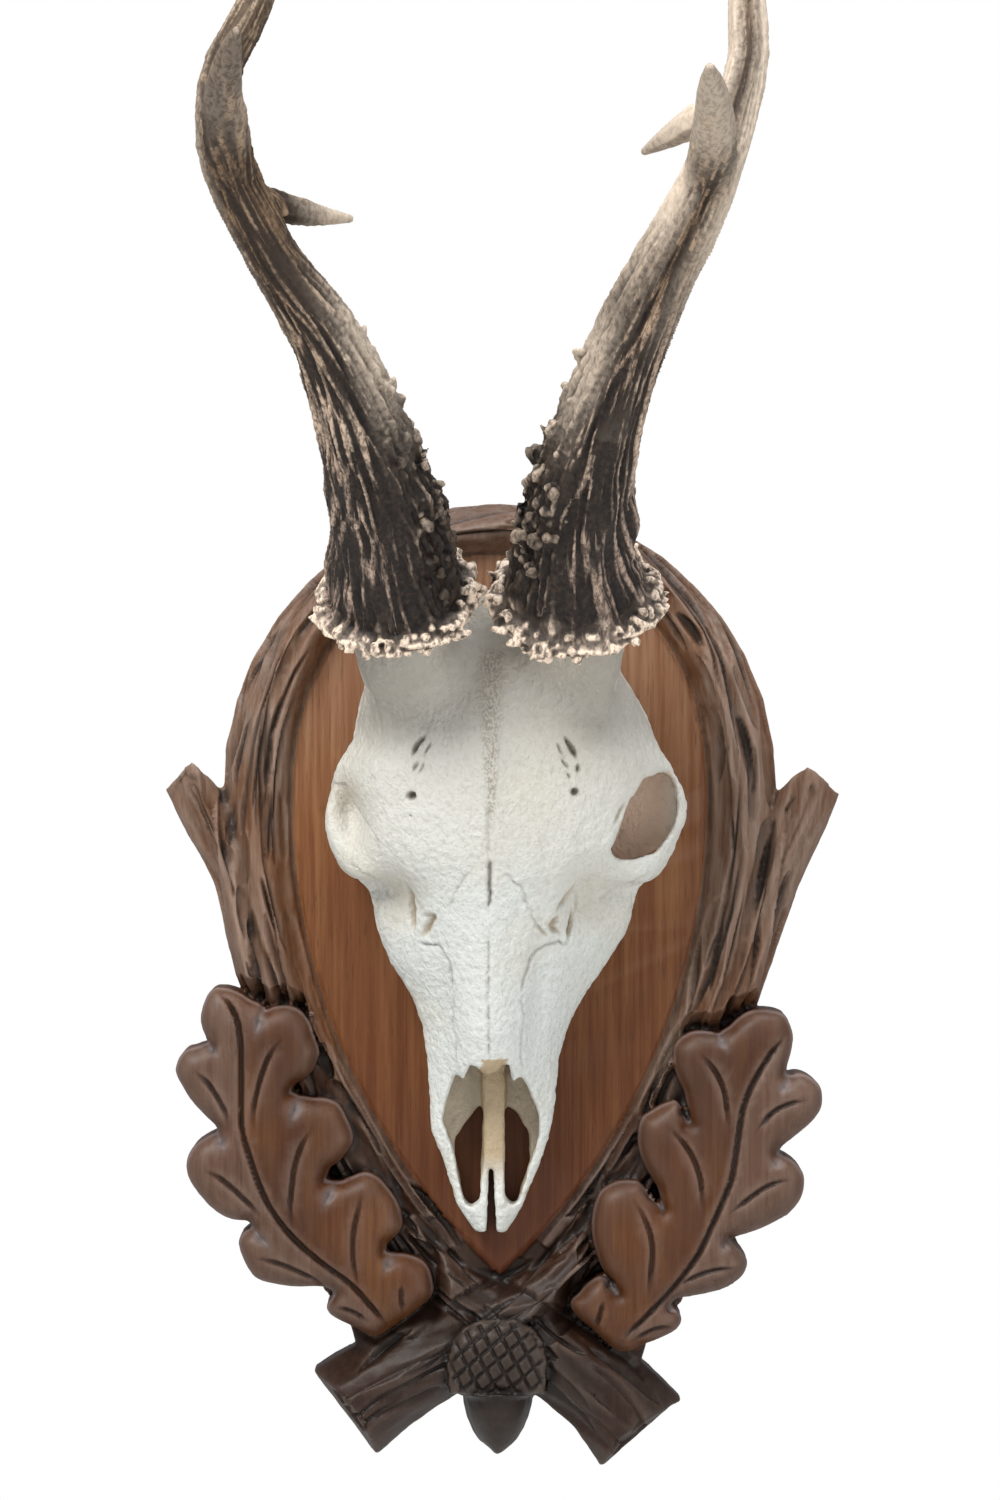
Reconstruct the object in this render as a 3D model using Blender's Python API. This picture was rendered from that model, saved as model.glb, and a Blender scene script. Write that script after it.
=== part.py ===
"""A roe deer skull with both antlers, fixed to a carved wooden wall plaque.

The plaque is one carved board: a smooth egg-shaped panel, a bark wreath with two stubs, two oak leaves,
two crossed logs and an acorn. Its back lies in the plane y = 0, its front faces -Y and +Z is up.
Places are written as (x, z) in millimetres across the wall plus a depth out from the wall.
"""

import math

import bpy
import bmesh
from mathutils import Matrix, Vector

MM = 0.001

# Board: depths out from the wall
GROUND_DEPTH = 11.0
PANEL_DEPTH = 18.0
PANEL_CHAMFER = 1.4
GROOVE_DEPTH = 13.5
BACK_OVERRUN = 3.0
WALL_CUTTER_REACH = 400.0

# Panel outline: widest height, top and bottom point
PANEL_HALF_WIDTH = 52.5
PANEL_WIDEST_Z = 46.3
PANEL_TOP_Z = 108.3
PANEL_POINT_Z = -73.8
EGG_FULLNESS = 2.2
PANEL_POINTS = 17
GROUND_POINTS = 10
WREATH_POINTS = 60
WREATH_SKIPPED_POINTS = 6
GROUND_HALF_WIDTH = 69.0
GROUND_POINT_DROP = 36.0

# Carving: the half width of panel for which the places of stubs, logs and leaves below are drawn
CARVING_HALF_WIDTH = 52.5
BRANCH_COLUMNS = 9

# Wreath
WREATH_SIDE_WIDTH = 17.0
WREATH_TOP_WIDTH = 12.3
WREATH_RIM_WIDTH = 6.0
WREATH_CROWN = 25.0
WREATH_RIM_CROWN = 18.6
WREATH_OVERLAP = 1.2
WREATH_STATIONS = 39
RIM_START_Z = 2.0
RIM_END_Z = -28.0

# Bark gouges
GOUGE_DEPTH = 2.2
GOUGE_WAVES = 2.3
GOUGE_SLANT = 0.55

# Stubs: base and end of the centre line, width at each
STUB_CROWN = 23.0
STUB_END_PEAK = 8.0
STUB_LEFT = (
    ((-58.6, -9.0), 9.0), ((-63.4, 10.0), 9.6), ((-66.6, 26.0), 10.4),
    ((-71.4, 38.0), 12.4), ((-77.2, 49.2), 13.6),
)
STUB_RIGHT = (
    ((56.6, -9.0), 12.6), ((63.6, 12.0), 13.2), ((67.8, 26.0), 14.6),
    ((72.2, 37.0), 15.6), ((77.0, 48.0), 16.4),
)

# Crossed logs: centre line and width from the sawn end inwards
LOG_FRONT_CROWN = 27.0
LOG_BACK_CROWN = 23.5
LOG_END_SLOPE = 3.0
LOG_FRONT = (
    ((-38.9, -107.6), 26.6), ((-27.8, -99.6), 24.2), ((-14.0, -92.0), 22.0), ((0.0, -84.6), 19.5),
    ((14.5, -74.5), 15.0), ((26.5, -60.0), 9.0), ((35.0, -46.0), 6.0),
)
LOG_BACK = (
    ((35.6, -113.0), 26.4), ((26.4, -102.4), 23.6), ((13.0, -92.5), 22.0), ((0.0, -83.0), 19.5),
    ((-14.5, -74.0), 15.0), ((-26.5, -60.0), 9.0), ((-35.0, -46.0), 6.0),
)

# Leaves: apex, lobe tips and notches from the apex down, outer side and inner side
LEAF_EDGE_DEPTH = 21.5
LEAF_CROWN = 28.0
LEAF_NOTCH_DEPTH = 17.5
LEAF_MIDRIB_DROP = 2.6
LEAF_VEIN_DROP = 1.3
LEAF_ROUNDNESS = 0.22
LEAF_SHARES = (0.16, 0.46, 0.80, 1.0)
LEAF_LEFT = {
    "apex": (-70.0, -0.2),
    "midrib": ((-68.6, -4.8), (-66.2, -15.0), (-66.2, -27.3), (-65.0, -39.8), (-61.3, -51.0),
               (-55.8, -61.0), (-47.8, -69.0), (-37.8, -76.5), (-28.0, -88.8)),
    "outer": {
        "shoulder": (-75.0, -7.0),
        "notches": ((-73.3, -14.3), (-70.6, -37.3), (-61.8, -59.8), (-42.3, -76.2), (-32.6, -90.0)),
        "tips": ((-81.2, -21.8), (-78.2, -48.0), (-64.4, -69.6), (-43.3, -82.6)),
    },
    "inner": {
        "shoulder": (-64.0, -2.6),
        "notches": ((-58.4, -7.2), (-51.6, -27.6), (-43.3, -49.4), (-29.6, -67.6), (-20.0, -87.0)),
        "tips": ((-45.6, -14.2), (-37.2, -36.8), (-24.9, -55.8), (-17.0, -74.4)),
    },
}
LEAF_RIGHT = {
    "apex": (67.8, -6.4),
    "midrib": ((68.2, -11.8), (64.0, -20.8), (59.8, -29.0), (58.0, -38.8), (56.8, -49.0),
               (52.5, -59.5), (46.5, -70.3), (39.3, -79.5), (28.2, -92.2)),
    "outer": {
        "shoulder": (73.4, -11.6),
        "notches": ((71.6, -21.4), (69.8, -41.5), (57.6, -63.2), (43.2, -79.2), (31.3, -94.2)),
        "tips": ((80.6, -28.2), (75.9, -50.8), (61.9, -72.0), (45.2, -85.0)),
    },
    "inner": {
        "shoulder": (61.0, -7.4),
        "notches": ((56.6, -11.2), (47.2, -31.6), (40.2, -53.0), (29.6, -75.6), (23.5, -91.0)),
        "tips": ((43.2, -17.6), (34.7, -39.4), (23.0, -58.4), (18.0, -80.0)),
    },
}
VEIN_ROOTS = (0.40, 0.66, 0.84, 0.95)
NOTCH_ROOTS = (0.14, 0.54, 0.76, 0.90, 1.0)

# Acorn
ACORN_X = -0.6
ACORN_CROWN = 30.0
CUP_TOP_Z = -83.6
CUP_RIM_Z = -102.4
CUP_HALF_WIDTH = 12.2
CUP_STEP = 0.55
CUP_ROWS = 9
CUP_END_SHARE = 0.78
ACORN_COLUMNS = 13
NUT_HALF_WIDTH = 9.2
NUT_TIP_Z = -118.0
NUT_ROWS = 7
NUT_EDGE_DEPTH = 8.0
NUT_CROWN = 27.0
NUT_END_SHARE = 0.35
NUT_OVERLAP = 2.0
REST_BLOCK_TOP_Z = -95.5
REST_BLOCK_DEPTH = 10.0

# Keyhole slot in the back, for one screw in the wall
KEYHOLE_Z = 74.0
KEYHOLE_ENTRY_DIAMETER = 9.5
KEYHOLE_SLOT_WIDTH = 4.8
KEYHOLE_SLOT_LENGTH = 12.0
KEYHOLE_LIP = 3.2
KEYHOLE_UNDERCUT = 0.5
KEYHOLE_TOTAL_DEPTH = 9.5
KEYHOLE_ENTRY_SIDES = 16
KEYHOLE_SLOT_SIDES = 8
CUTTER_OVERRUN = 1.0
CUTTER_OVERLAP = 0.5

# Skull: the sawn back rests this far off the panel
FIT_GAP = 0.3
SKULL_MIDLINE_X = -2.7
SKULL_TOP_Z = 98.0
SKULL_TIP_Z = -61.6
SKULL_COLUMNS = 15
# height above the tip as a share of the skull's length, left and right half width in mm,
# crown and edge height in mm over the sawn back, fullness of the section
SKULL_STATIONS = (
    (1.000, 17.0, 16.0, 35.0, 24.0, 2.6),
    (0.955, 25.5, 25.5, 41.0, 25.0, 2.8),
    (0.905, 29.0, 30.6, 46.0, 26.0, 3.0),
    (0.850, 29.4, 33.6, 48.5, 26.0, 3.0),
    (0.790, 30.0, 37.2, 49.5, 24.0, 3.4),
    (0.760, 33.2, 41.0, 49.5, 25.0, 3.2),
    (0.730, 38.2, 45.0, 49.0, 26.0, 3.0),
    (0.690, 39.6, 47.8, 48.2, 26.0, 2.8),
    (0.645, 40.8, 48.4, 46.8, 25.5, 2.7),
    (0.600, 39.2, 46.2, 45.0, 24.5, 2.6),
    (0.565, 34.8, 41.8, 43.0, 23.0, 2.4),
    (0.538, 29.6, 36.6, 41.3, 21.0, 2.2),
    (0.480, 28.2, 35.0, 37.8, 19.0, 2.0),
    (0.425, 24.8, 29.6, 34.8, 17.0, 2.0),
    (0.370, 19.2, 23.4, 32.2, 15.5, 2.1),
    (0.320, 16.4, 19.4, 30.0, 14.5, 2.2),
    (0.272, 15.4, 17.4, 26.5, 13.5, 2.3),
    (0.215, 14.8, 16.5, 20.0, 12.5, 2.8),
    (0.165, 14.6, 15.6, 15.5, 11.0, 3.0),
    (0.105, 11.0, 12.4, 12.0, 9.0, 2.6),
    (0.045, 8.2, 8.6, 9.5, 6.5, 2.4),
    (0.000, 3.6, 4.4, 6.5, 4.0, 2.2),
)
NARES_FLOOR = 4.5
SEPTUM_TOP = 10.0
NARES_REACH = 60.0
# outlines of the nose cavity each side of the septum and of the septum's open top, as x and z
NARES_LEFT = (
    (-4.1, -20.2), (-4.9, -19.2), (-7.2, -18.2), (-9.0, -22.8), (-11.0, -20.8), (-13.0, -26.5),
    (-14.4, -33.0), (-11.6, -41.0), (-9.2, -53.2), (-7.3, -55.4), (-5.2, -54.0), (-4.1, -42.0),
)
NARES_RIGHT = (
    (1.1, -17.8), (2.4, -18.6), (3.1, -23.4), (5.4, -21.4), (7.4, -25.8), (9.7, -31.5), (9.8, -37.0),
    (7.6, -43.8), (4.4, -54.2), (2.7, -54.8), (1.1, -52.6),
)
SEPTUM_OPEN = ((-4.6, -19.6), (-2.6, -21.0), (1.6, -17.4), (1.6, -55.0), (-4.6, -55.0))
FISSURE_LEFT = (
    (-4.1, -28.5), (-8.0, -33.5), (-11.2, -38.0), (-11.4, -42.0),
    (-9.2, -53.0), (-7.3, -55.2), (-4.9, -53.4),
)
FISSURE_RIGHT = (
    (1.1, -29.5), (4.2, -31.5), (7.4, -37.0), (7.5, -43.6), (4.4, -53.8), (2.7, -54.6), (1.1, -52.0),
)
PRONG_SLIT = ((-3.6, -66.0), (-0.6, -66.0), (-1.6, -45.0), (-2.4, -44.0), (-2.9, -45.0))
# rounded hollows: centre as x, z and height over the sawn back, radii likewise, turn in degrees
ORBIT_LEFT = {"centre": (-37.6, 43.0, 34.0), "radii": (5.0, 9.4, 14.0), "turn": -8.0}
SLIT_LEFT = {"centre": (-20.6, 60.0, 49.0), "radii": (1.3, 5.4, 5.0), "turn": -18.0}
SLIT_RIGHT = {"centre": (17.2, 58.8, 49.0), "radii": (1.3, 5.4, 5.0), "turn": 24.0}
ORBIT_RIGHT_FLOOR = 13.0
ORBIT_RIGHT = (
    (28.0, 36.6), (26.8, 34.2), (28.4, 32.0), (33.0, 31.6), (38.0, 33.0), (42.2, 38.4), (44.0, 44.2),
    (43.6, 49.6), (42.4, 53.6), (38.6, 53.2), (34.2, 52.4), (31.6, 47.0),
)

# Antlers: base plane centre as x, z and depth, then the run of the beam to its tip
ANTLER_SIDES = 16
BEAM_STATIONS = 24
TINE_SIDES = 8
TINE_STATIONS = 7
BURR_BUMP = 1.1
BEAM_RIDGE = 0.55
BEAM_LUMP = 2.2
PEDICLE_RADIUS = 12.4
PEDICLE_LENGTH = 29.0
PEDICLE_SIDES = 14
PEDICLE_INSET = 2.0
# shares of the pedicle's length down from the burr with shares of its radius
PEDICLE_SHAPE = ((1.0, 0.55), (0.6, 0.98), (0.3, 1.04), (0.0, 1.0))
# the burr from its base up: height in mm, share of its radius, share of its bumps
BURR_SHAPE = ((0.0, 0.62, 0.0), (0.5, 0.86, 0.4), (2.6, 0.98, 1.0), (4.6, 0.95, -1.0), (6.2, 0.80, 0.6))
ANTLER_LEFT = {
    "burr_radius": 20.2,
    "beam": (
        ((-24.6, 93.2, 74.4), 13.6), ((-26.2, 104.5, 85.2), 13.4), ((-27.9, 118.5, 98.6), 12.4),
        ((-31.6, 131.8, 111.0), 10.4), ((-36.0, 145.2, 121.2), 9.2), ((-42.6, 158.6, 130.0), 7.6),
        ((-51.6, 171.2, 137.2), 6.2), ((-58.4, 183.6, 143.2), 6.2), ((-62.8, 194.0, 147.4), 6.0),
        ((-64.9, 204.0, 148.6), 5.3), ((-63.9, 215.4, 146.6), 4.7), ((-58.0, 227.6, 142.4), 4.3),
        ((-53.4, 239.4, 138.2), 3.2), ((-49.8, 248.4, 135.0), 0.9),
    ),
    "front_tine": (
        ((-61.4, 191.0, 148.0), 5.4), ((-62.6, 199.6, 157.0), 5.3), ((-62.8, 208.6, 168.0), 4.4),
        ((-60.6, 215.6, 178.0), 2.9), ((-58.8, 220.0, 185.0), 0.9),
    ),
    "rear_tine": (
        ((-57.4, 185.6, 143.0), 4.0), ((-50.6, 184.2, 137.4), 3.5), ((-42.8, 183.0, 131.4), 2.6),
        ((-34.4, 182.6, 125.2), 0.9),
    ),
}
ANTLER_RIGHT = {
    "burr_radius": 21.6,
    "beam": (
        ((18.3, 93.6, 74.4), 13.8), ((18.0, 104.6, 85.4), 12.9), ((18.8, 117.8, 98.8), 11.6),
        ((21.6, 130.4, 110.6), 10.3), ((26.4, 144.4, 120.8), 9.2), ((31.8, 157.4, 129.6), 8.5),
        ((38.8, 171.6, 137.6), 7.5), ((46.0, 184.8, 143.6), 6.9), ((50.0, 194.6, 145.6), 6.2),
        ((53.6, 204.2, 144.0), 5.5), ((57.2, 217.4, 140.6), 4.7), ((57.2, 229.4, 137.4), 4.5),
        ((56.8, 240.4, 134.6), 3.2), ((56.0, 249.4, 132.0), 0.9),
    ),
    "front_tine": (
        ((48.0, 189.6, 147.6), 5.8), ((48.6, 196.4, 156.4), 5.6), ((48.2, 202.6, 167.0), 4.7),
        ((47.6, 208.0, 177.0), 3.2), ((46.9, 211.8, 185.0), 0.9),
    ),
    "rear_tine": (
        ((51.6, 205.6, 142.0), 4.3), ((45.8, 204.6, 135.0), 3.9), ((39.6, 201.6, 127.6), 2.9),
        ((33.4, 198.6, 120.4), 0.9),
    ),
}


def at(x, z, depth):
    """A point across the wall and out from it, in metres."""
    return Vector((x * MM, -depth * MM, z * MM))


def mix(first, second, share):
    return first + (second - first) * share


def spread(x):
    """A place across the carving, moved with the panel's half width."""
    return x * PANEL_HALF_WIDTH / CARVING_HALF_WIDTH


def smooth(share):
    share = min(max(share, 0.0), 1.0)
    return share * share * (3.0 - 2.0 * share)


def curve_through(points, count):
    """Evenly spread points on a smooth curve through the given points."""
    knots = [Vector(point) for point in points]
    padded = [2.0 * knots[0] - knots[1]] + knots + [2.0 * knots[-1] - knots[-2]]
    result = []
    for index in range(count):
        place = index / (count - 1) * (len(knots) - 1)
        start = min(int(place), len(knots) - 2)
        share = place - start
        before, first, second, after = padded[start:start + 4]
        result.append(0.5 * (2.0 * first + (second - before) * share
                             + (2.0 * before - 5.0 * first + 4.0 * second - after) * share ** 2
                             + (3.0 * first - 3.0 * second + after - before) * share ** 3))
    return result


def clear_scene():
    for item in list(bpy.data.objects):
        bpy.data.objects.remove(item)


def new_collection(name):
    collection = bpy.data.collections.new(name)
    bpy.context.scene.collection.children.link(collection)
    return collection


def make_material(name, color, roughness):
    material = bpy.data.materials.new(name)
    material.use_nodes = True
    shader = material.node_tree.nodes["Principled BSDF"]
    shader.inputs["Base Color"].default_value = (*color, 1.0)
    shader.inputs["Roughness"].default_value = roughness
    shader.inputs["Metallic"].default_value = 0.0
    return material


def make_object(name, collection, vertices, faces):
    """A closed mesh whose faces are turned outwards."""
    mesh = bpy.data.meshes.new(name)
    mesh.from_pydata(vertices, [], faces)
    shape = bmesh.new()
    shape.from_mesh(mesh)
    bmesh.ops.remove_doubles(shape, verts=shape.verts, dist=0.00005)
    bmesh.ops.triangulate(shape, faces=shape.faces)
    bmesh.ops.recalc_face_normals(shape, faces=shape.faces)
    shape.to_mesh(mesh)
    shape.free()
    item = bpy.data.objects.new(name, mesh)
    collection.objects.link(item)
    return item


def make_cutter(name, collection, vertices, faces):
    item = make_object(name, collection, vertices, faces)
    item.hide_render = True
    item.display_type = "WIRE"
    return item


def loft(rings):
    """Vertices and faces of a closed body through rings with equal counts."""
    count = len(rings[0])
    vertices = [point for ring in rings for point in ring]
    faces = [tuple(range(count)), tuple(reversed(range(len(vertices) - count, len(vertices))))]
    for row in range(len(rings) - 1):
        for column in range(count):
            after = (column + 1) % count
            first = row * count
            faces.append((first + column, first + count + column, first + count + after, first + after))
    return vertices, faces


def union(item, collection):
    modifier = item.modifiers.new("union", "BOOLEAN")
    modifier.operation = "UNION"
    modifier.operand_type = "COLLECTION"
    modifier.collection = collection
    modifier.solver = "EXACT"


def cut(item, collection):
    modifier = item.modifiers.new("cut", "BOOLEAN")
    modifier.operation = "DIFFERENCE"
    modifier.operand_type = "COLLECTION"
    modifier.collection = collection
    modifier.solver = "EXACT"


def egg_outline(half_width, widest_z, top_z, point_z, count):
    """Half an egg from its bottom point up the +X side to its top."""
    drop = widest_z - point_z
    radius = (half_width ** 2 + drop ** 2) / (2.0 * half_width)
    sweep = math.asin(drop / radius)
    outline = []
    for index in range(count):
        angle = sweep * (index / count - 1.0)
        x = half_width - radius + radius * math.cos(angle)
        outline.append((x, widest_z + radius * math.sin(angle)))
    for index in range(count + 1):
        angle = math.pi / 2.0 * index / count
        x = half_width * math.cos(angle) ** (2.0 / EGG_FULLNESS)
        z = widest_z + (top_z - widest_z) * math.sin(angle) ** (2.0 / EGG_FULLNESS)
        outline.append((x, z))
    return outline


def whole_outline(half):
    """The half outline followed by its mirror image, point and top once each."""
    return half + [(-x, z) for x, z in reversed(half[1:-1])]


def build_ground(name, collection):
    half = egg_outline(
        spread(GROUND_HALF_WIDTH), PANEL_WIDEST_Z, PANEL_TOP_Z + WREATH_TOP_WIDTH / 2.0,
        PANEL_POINT_Z - GROUND_POINT_DROP, GROUND_POINTS,
    )
    outline = whole_outline(half)
    rings = [[at(x, z, depth) for x, z in outline] for depth in (-BACK_OVERRUN, GROUND_DEPTH)]
    return make_object(name, collection, *loft(rings))


def build_panel(collection):
    rings = []
    side_depth = PANEL_DEPTH - PANEL_CHAMFER
    for depth, inset in ((-BACK_OVERRUN, 0.0), (side_depth, 0.0), (PANEL_DEPTH, PANEL_CHAMFER)):
        half = egg_outline(
            PANEL_HALF_WIDTH - inset, PANEL_WIDEST_Z, PANEL_TOP_Z - inset,
            PANEL_POINT_Z + 2.0 * inset, PANEL_POINTS,
        )
        rings.append([at(x, z, depth) for x, z in whole_outline(half)])
    make_cutter("panel", collection, *loft(rings))


def bark_heights(edge, crown, station, phase):
    """Heights across a branch: a half round with long slanting gouges."""
    heights = []
    for column in range(BRANCH_COLUMNS):
        across = 2.0 * column / (BRANCH_COLUMNS - 1) - 1.0
        dome = edge + (crown - edge) * (1.0 - abs(across) ** 2.4)
        wave = math.sin(math.pi * GOUGE_WAVES * across + GOUGE_SLANT * station + phase)
        fade = 1.0 - across ** 4
        heights.append(dome - GOUGE_DEPTH * fade * max(0.0, wave) ** 1.5)
    return heights


def relief_ring(centre, side, heights, half_width):
    """One section of a branch, closed behind the wall plane."""
    columns = len(heights)
    ring = []
    for column, height in enumerate(heights):
        place = centre + side * half_width * (2.0 * column / (columns - 1) - 1.0)
        ring.append(at(place.x, place.y, height))
    for share in (1.0, -1.0):
        place = centre + side * half_width * share
        ring.append(at(place.x, place.y, -BACK_OVERRUN))
    return ring


def wreath_size(z):
    """Width and crown of the wreath at a height."""
    rise = smooth((z - PANEL_WIDEST_Z) / (PANEL_TOP_Z - PANEL_WIDEST_Z)) ** 1.6
    fall = smooth((RIM_START_Z - z) / (RIM_START_Z - RIM_END_Z))
    width = mix(WREATH_SIDE_WIDTH, WREATH_TOP_WIDTH, rise)
    return mix(width, WREATH_RIM_WIDTH, fall), mix(WREATH_CROWN, WREATH_RIM_CROWN, fall)


def build_wreath(collection):
    half = egg_outline(PANEL_HALF_WIDTH, PANEL_WIDEST_Z, PANEL_TOP_Z, PANEL_POINT_Z, WREATH_POINTS)
    half = [Vector(point) for point in half[WREATH_SKIPPED_POINTS:]]
    path = half + [Vector((-point.x, point.y)) for point in reversed(half[:-1])]
    rings = []
    for station in range(WREATH_STATIONS):
        index = round(station / (WREATH_STATIONS - 1) * (len(path) - 1))
        ahead = path[min(index + 1, len(path) - 1)]
        behind = path[max(index - 1, 0)]
        along = (ahead - behind).normalized()
        outward = Vector((along.y, -along.x))
        width, crown = wreath_size(path[index].y)
        half_width = (width + WREATH_OVERLAP) / 2.0
        centre = path[index] + outward * (half_width - WREATH_OVERLAP)
        heights = bark_heights(GROOVE_DEPTH, crown, station, 0.4)
        rings.append(relief_ring(centre, outward, heights, half_width))
    make_cutter("wreath", collection, *loft(rings))


def build_branch(name, collection, run, crown, phase, peak=0.0, slope=0.0):
    """A stub or a log along its run; the last end may rise to a level peak, the first be sawn to a slope."""
    stations = 2 * len(run) - 1
    line = curve_through([(spread(x), z, width) for (x, z), width in run], stations)
    rings = []
    for station, (x, z, width) in enumerate(line):
        ahead = line[min(station + 1, stations - 1)]
        behind = line[max(station - 1, 0)]
        along = Vector((ahead.x - behind.x, ahead.y - behind.y)).normalized()
        if peak and station == stations - 1:
            along = Vector((0.0, 1.0))
        side = Vector((-along.y, along.x))
        heights = bark_heights(GROOVE_DEPTH, crown, station, phase)
        ring = relief_ring(Vector((x, z)), side, heights, width / 2.0)
        if station in (0, stations - 1):
            for column in range(BRANCH_COLUMNS):
                across = abs(2.0 * column / (BRANCH_COLUMNS - 1) - 1.0)
                shift = peak * (1.0 - across) if station else slope * (1.0 - across ** 2)
                ring[column] += Vector((along.x, 0.0, along.y)) * shift * MM
        rings.append(ring)
    make_cutter(name, collection, *loft(rings))


def leaf_place(point):
    return Vector((spread(point[0]), point[1]))


def leaf_side(side, roots):
    """Rows of one leaf side from the apex down: the edge point, its root and how it is carved."""
    notches = [leaf_place(point) for point in side["notches"]]
    rows = [(leaf_place(side["shoulder"]), roots(NOTCH_ROOTS[0] / 2.0), "lobe")]
    rows.append((notches[0], roots(NOTCH_ROOTS[0]), "notch"))
    for index, point in enumerate(side["tips"]):
        tip = leaf_place(point)
        outward = (tip - (notches[index] + notches[index + 1]) / 2.0).normalized()
        for end, shares in ((index, (0.40, 0.80)), (None, (1.0,)), (index + 1, (0.80, 0.40))):
            for share in shares:
                base = tip if end is None else notches[end]
                start = VEIN_ROOTS[index] if end is None else NOTCH_ROOTS[end]
                bulge = outward * LEAF_ROUNDNESS * math.sin(math.pi * share ** 1.3) * (tip - base).length
                root = roots(mix(start, VEIN_ROOTS[index], share * 0.8))
                rows.append((mix(base, tip, share) + bulge, root, "vein" if end is None else "lobe"))
        rows.append((notches[index + 1], roots(NOTCH_ROOTS[index + 1]), "notch"))
    return rows


def leaf_height(kind, share):
    """Height of the leaf at a share of the way from midrib to edge."""
    edge = LEAF_NOTCH_DEPTH if kind == "notch" else LEAF_EDGE_DEPTH
    dome = edge + (LEAF_CROWN - edge) * (1.0 - share ** 3)
    if kind != "apex":
        dome -= LEAF_MIDRIB_DROP * (1.0 - min(share / LEAF_SHARES[0], 1.0))
    if kind == "vein":
        dome -= LEAF_VEIN_DROP * math.sin(math.pi * min(share * 1.1, 1.0))
    return dome


def build_leaf(name, collection, leaf):
    line = curve_through([(spread(x), z, 0.0) for x, z in leaf["midrib"]], 60)

    def roots(share):
        point = line[round(share * (len(line) - 1))]
        return Vector((point.x, point.y))

    top = (leaf_place(leaf["apex"]), roots(0.0), "apex")
    outer = [top] + leaf_side(leaf["outer"], roots)
    inner = [top] + leaf_side(leaf["inner"], roots)
    rings = []
    for outer_row, inner_row in zip(outer, inner):
        ring = []
        for (edge, root, kind), order in ((outer_row, reversed(LEAF_SHARES)), (inner_row, LEAF_SHARES)):
            for share in order:
                place = mix(root, edge, share)
                ring.append(at(place.x, place.y, leaf_height(kind, share)))
            if len(ring) == len(LEAF_SHARES):
                ring.append(at(root.x, root.y, leaf_height(kind, 0.0)))
        rings.append(ring)
    width = len(rings[0])
    vertices = [point for ring in rings for point in ring]
    faces = []
    for row in range(len(rings) - 1):
        for column in range(width - 1):
            first = row * width + column
            faces.append((first, first + 1, first + width + 1, first + width))
    border = [row * width for row in range(len(rings))]
    border += [(len(rings) - 1) * width + column for column in range(1, width)]
    border += [row * width + width - 1 for row in range(len(rings) - 2, 0, -1)]
    back = len(vertices)
    vertices += [Vector((vertices[index].x, BACK_OVERRUN * MM, vertices[index].z)) for index in border]
    for index, corner in enumerate(border):
        after = (index + 1) % len(border)
        faces.append((corner, border[after], back + after, back + index))
    faces.append(tuple(back + index for index in range(len(border))))
    make_cutter(name, collection, vertices, faces)


def build_acorn(collection):
    rings = []
    for row in range(CUP_ROWS):
        share = row / (CUP_ROWS - 1)
        half_width = CUP_HALF_WIDTH * math.sqrt(max(1.0 - (1.0 - share) ** 2.6, 0.16))
        heights = []
        for column in range(ACORN_COLUMNS):
            across = 2.0 * column / (ACORN_COLUMNS - 1) - 1.0
            step = CUP_STEP if (row + column) % 2 else -CUP_STEP
            round_share = math.sqrt(max(1.0 - across ** 2, 0.0))
            rise = round_share * mix(CUP_END_SHARE, 1.0, share ** 0.5)
            heights.append(mix(GROUND_DEPTH, ACORN_CROWN, rise) + step)
        centre = Vector((ACORN_X, mix(CUP_TOP_Z, CUP_RIM_Z, share)))
        rings.append(relief_ring(centre, Vector((1.0, 0.0)), heights, half_width))
    make_cutter("acorn_cup", collection, *loft(rings))

    rings = []
    for row in range(NUT_ROWS):
        share = row / (NUT_ROWS - 1)
        taper = math.sqrt(max(1.0 - share ** 1.7, 0.004))
        centre = Vector((ACORN_X, mix(CUP_RIM_Z + NUT_OVERLAP, NUT_TIP_Z, share)))
        heights = []
        for column in range(ACORN_COLUMNS):
            across = 2.0 * column / (ACORN_COLUMNS - 1) - 1.0
            rise = math.sqrt(max(1.0 - across ** 2, 0.0)) * mix(1.0, NUT_END_SHARE, share ** 2)
            heights.append(mix(NUT_EDGE_DEPTH, NUT_CROWN, rise))
        rings.append(relief_ring(centre, Vector((1.0, 0.0)), heights, NUT_HALF_WIDTH * taper))
    make_cutter("acorn_nut", collection, *loft(rings))

    rings = []
    for z in (REST_BLOCK_TOP_Z, CUP_RIM_Z - 0.2):
        heights = [REST_BLOCK_DEPTH, REST_BLOCK_DEPTH]
        rings.append(relief_ring(Vector((ACORN_X, z)), Vector((1.0, 0.0)), heights, CUP_HALF_WIDTH))
    make_cutter("acorn_rest", collection, *loft(rings))


def keyhole_outline(entry_radius, slot_radius):
    """An entry circle with a slot rising from it, as x and z."""
    join = math.asin(slot_radius / entry_radius)
    outline = []
    for step in range(KEYHOLE_ENTRY_SIDES + 1):
        angle = math.pi / 2.0 + join + 2.0 * (math.pi - join) * step / KEYHOLE_ENTRY_SIDES
        outline.append((entry_radius * math.cos(angle), KEYHOLE_Z + entry_radius * math.sin(angle)))
    for step in range(KEYHOLE_SLOT_SIDES + 1):
        angle = math.pi * step / KEYHOLE_SLOT_SIDES
        z = KEYHOLE_Z + KEYHOLE_SLOT_LENGTH + slot_radius * math.sin(angle)
        outline.append((slot_radius * math.cos(angle), z))
    return outline


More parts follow.
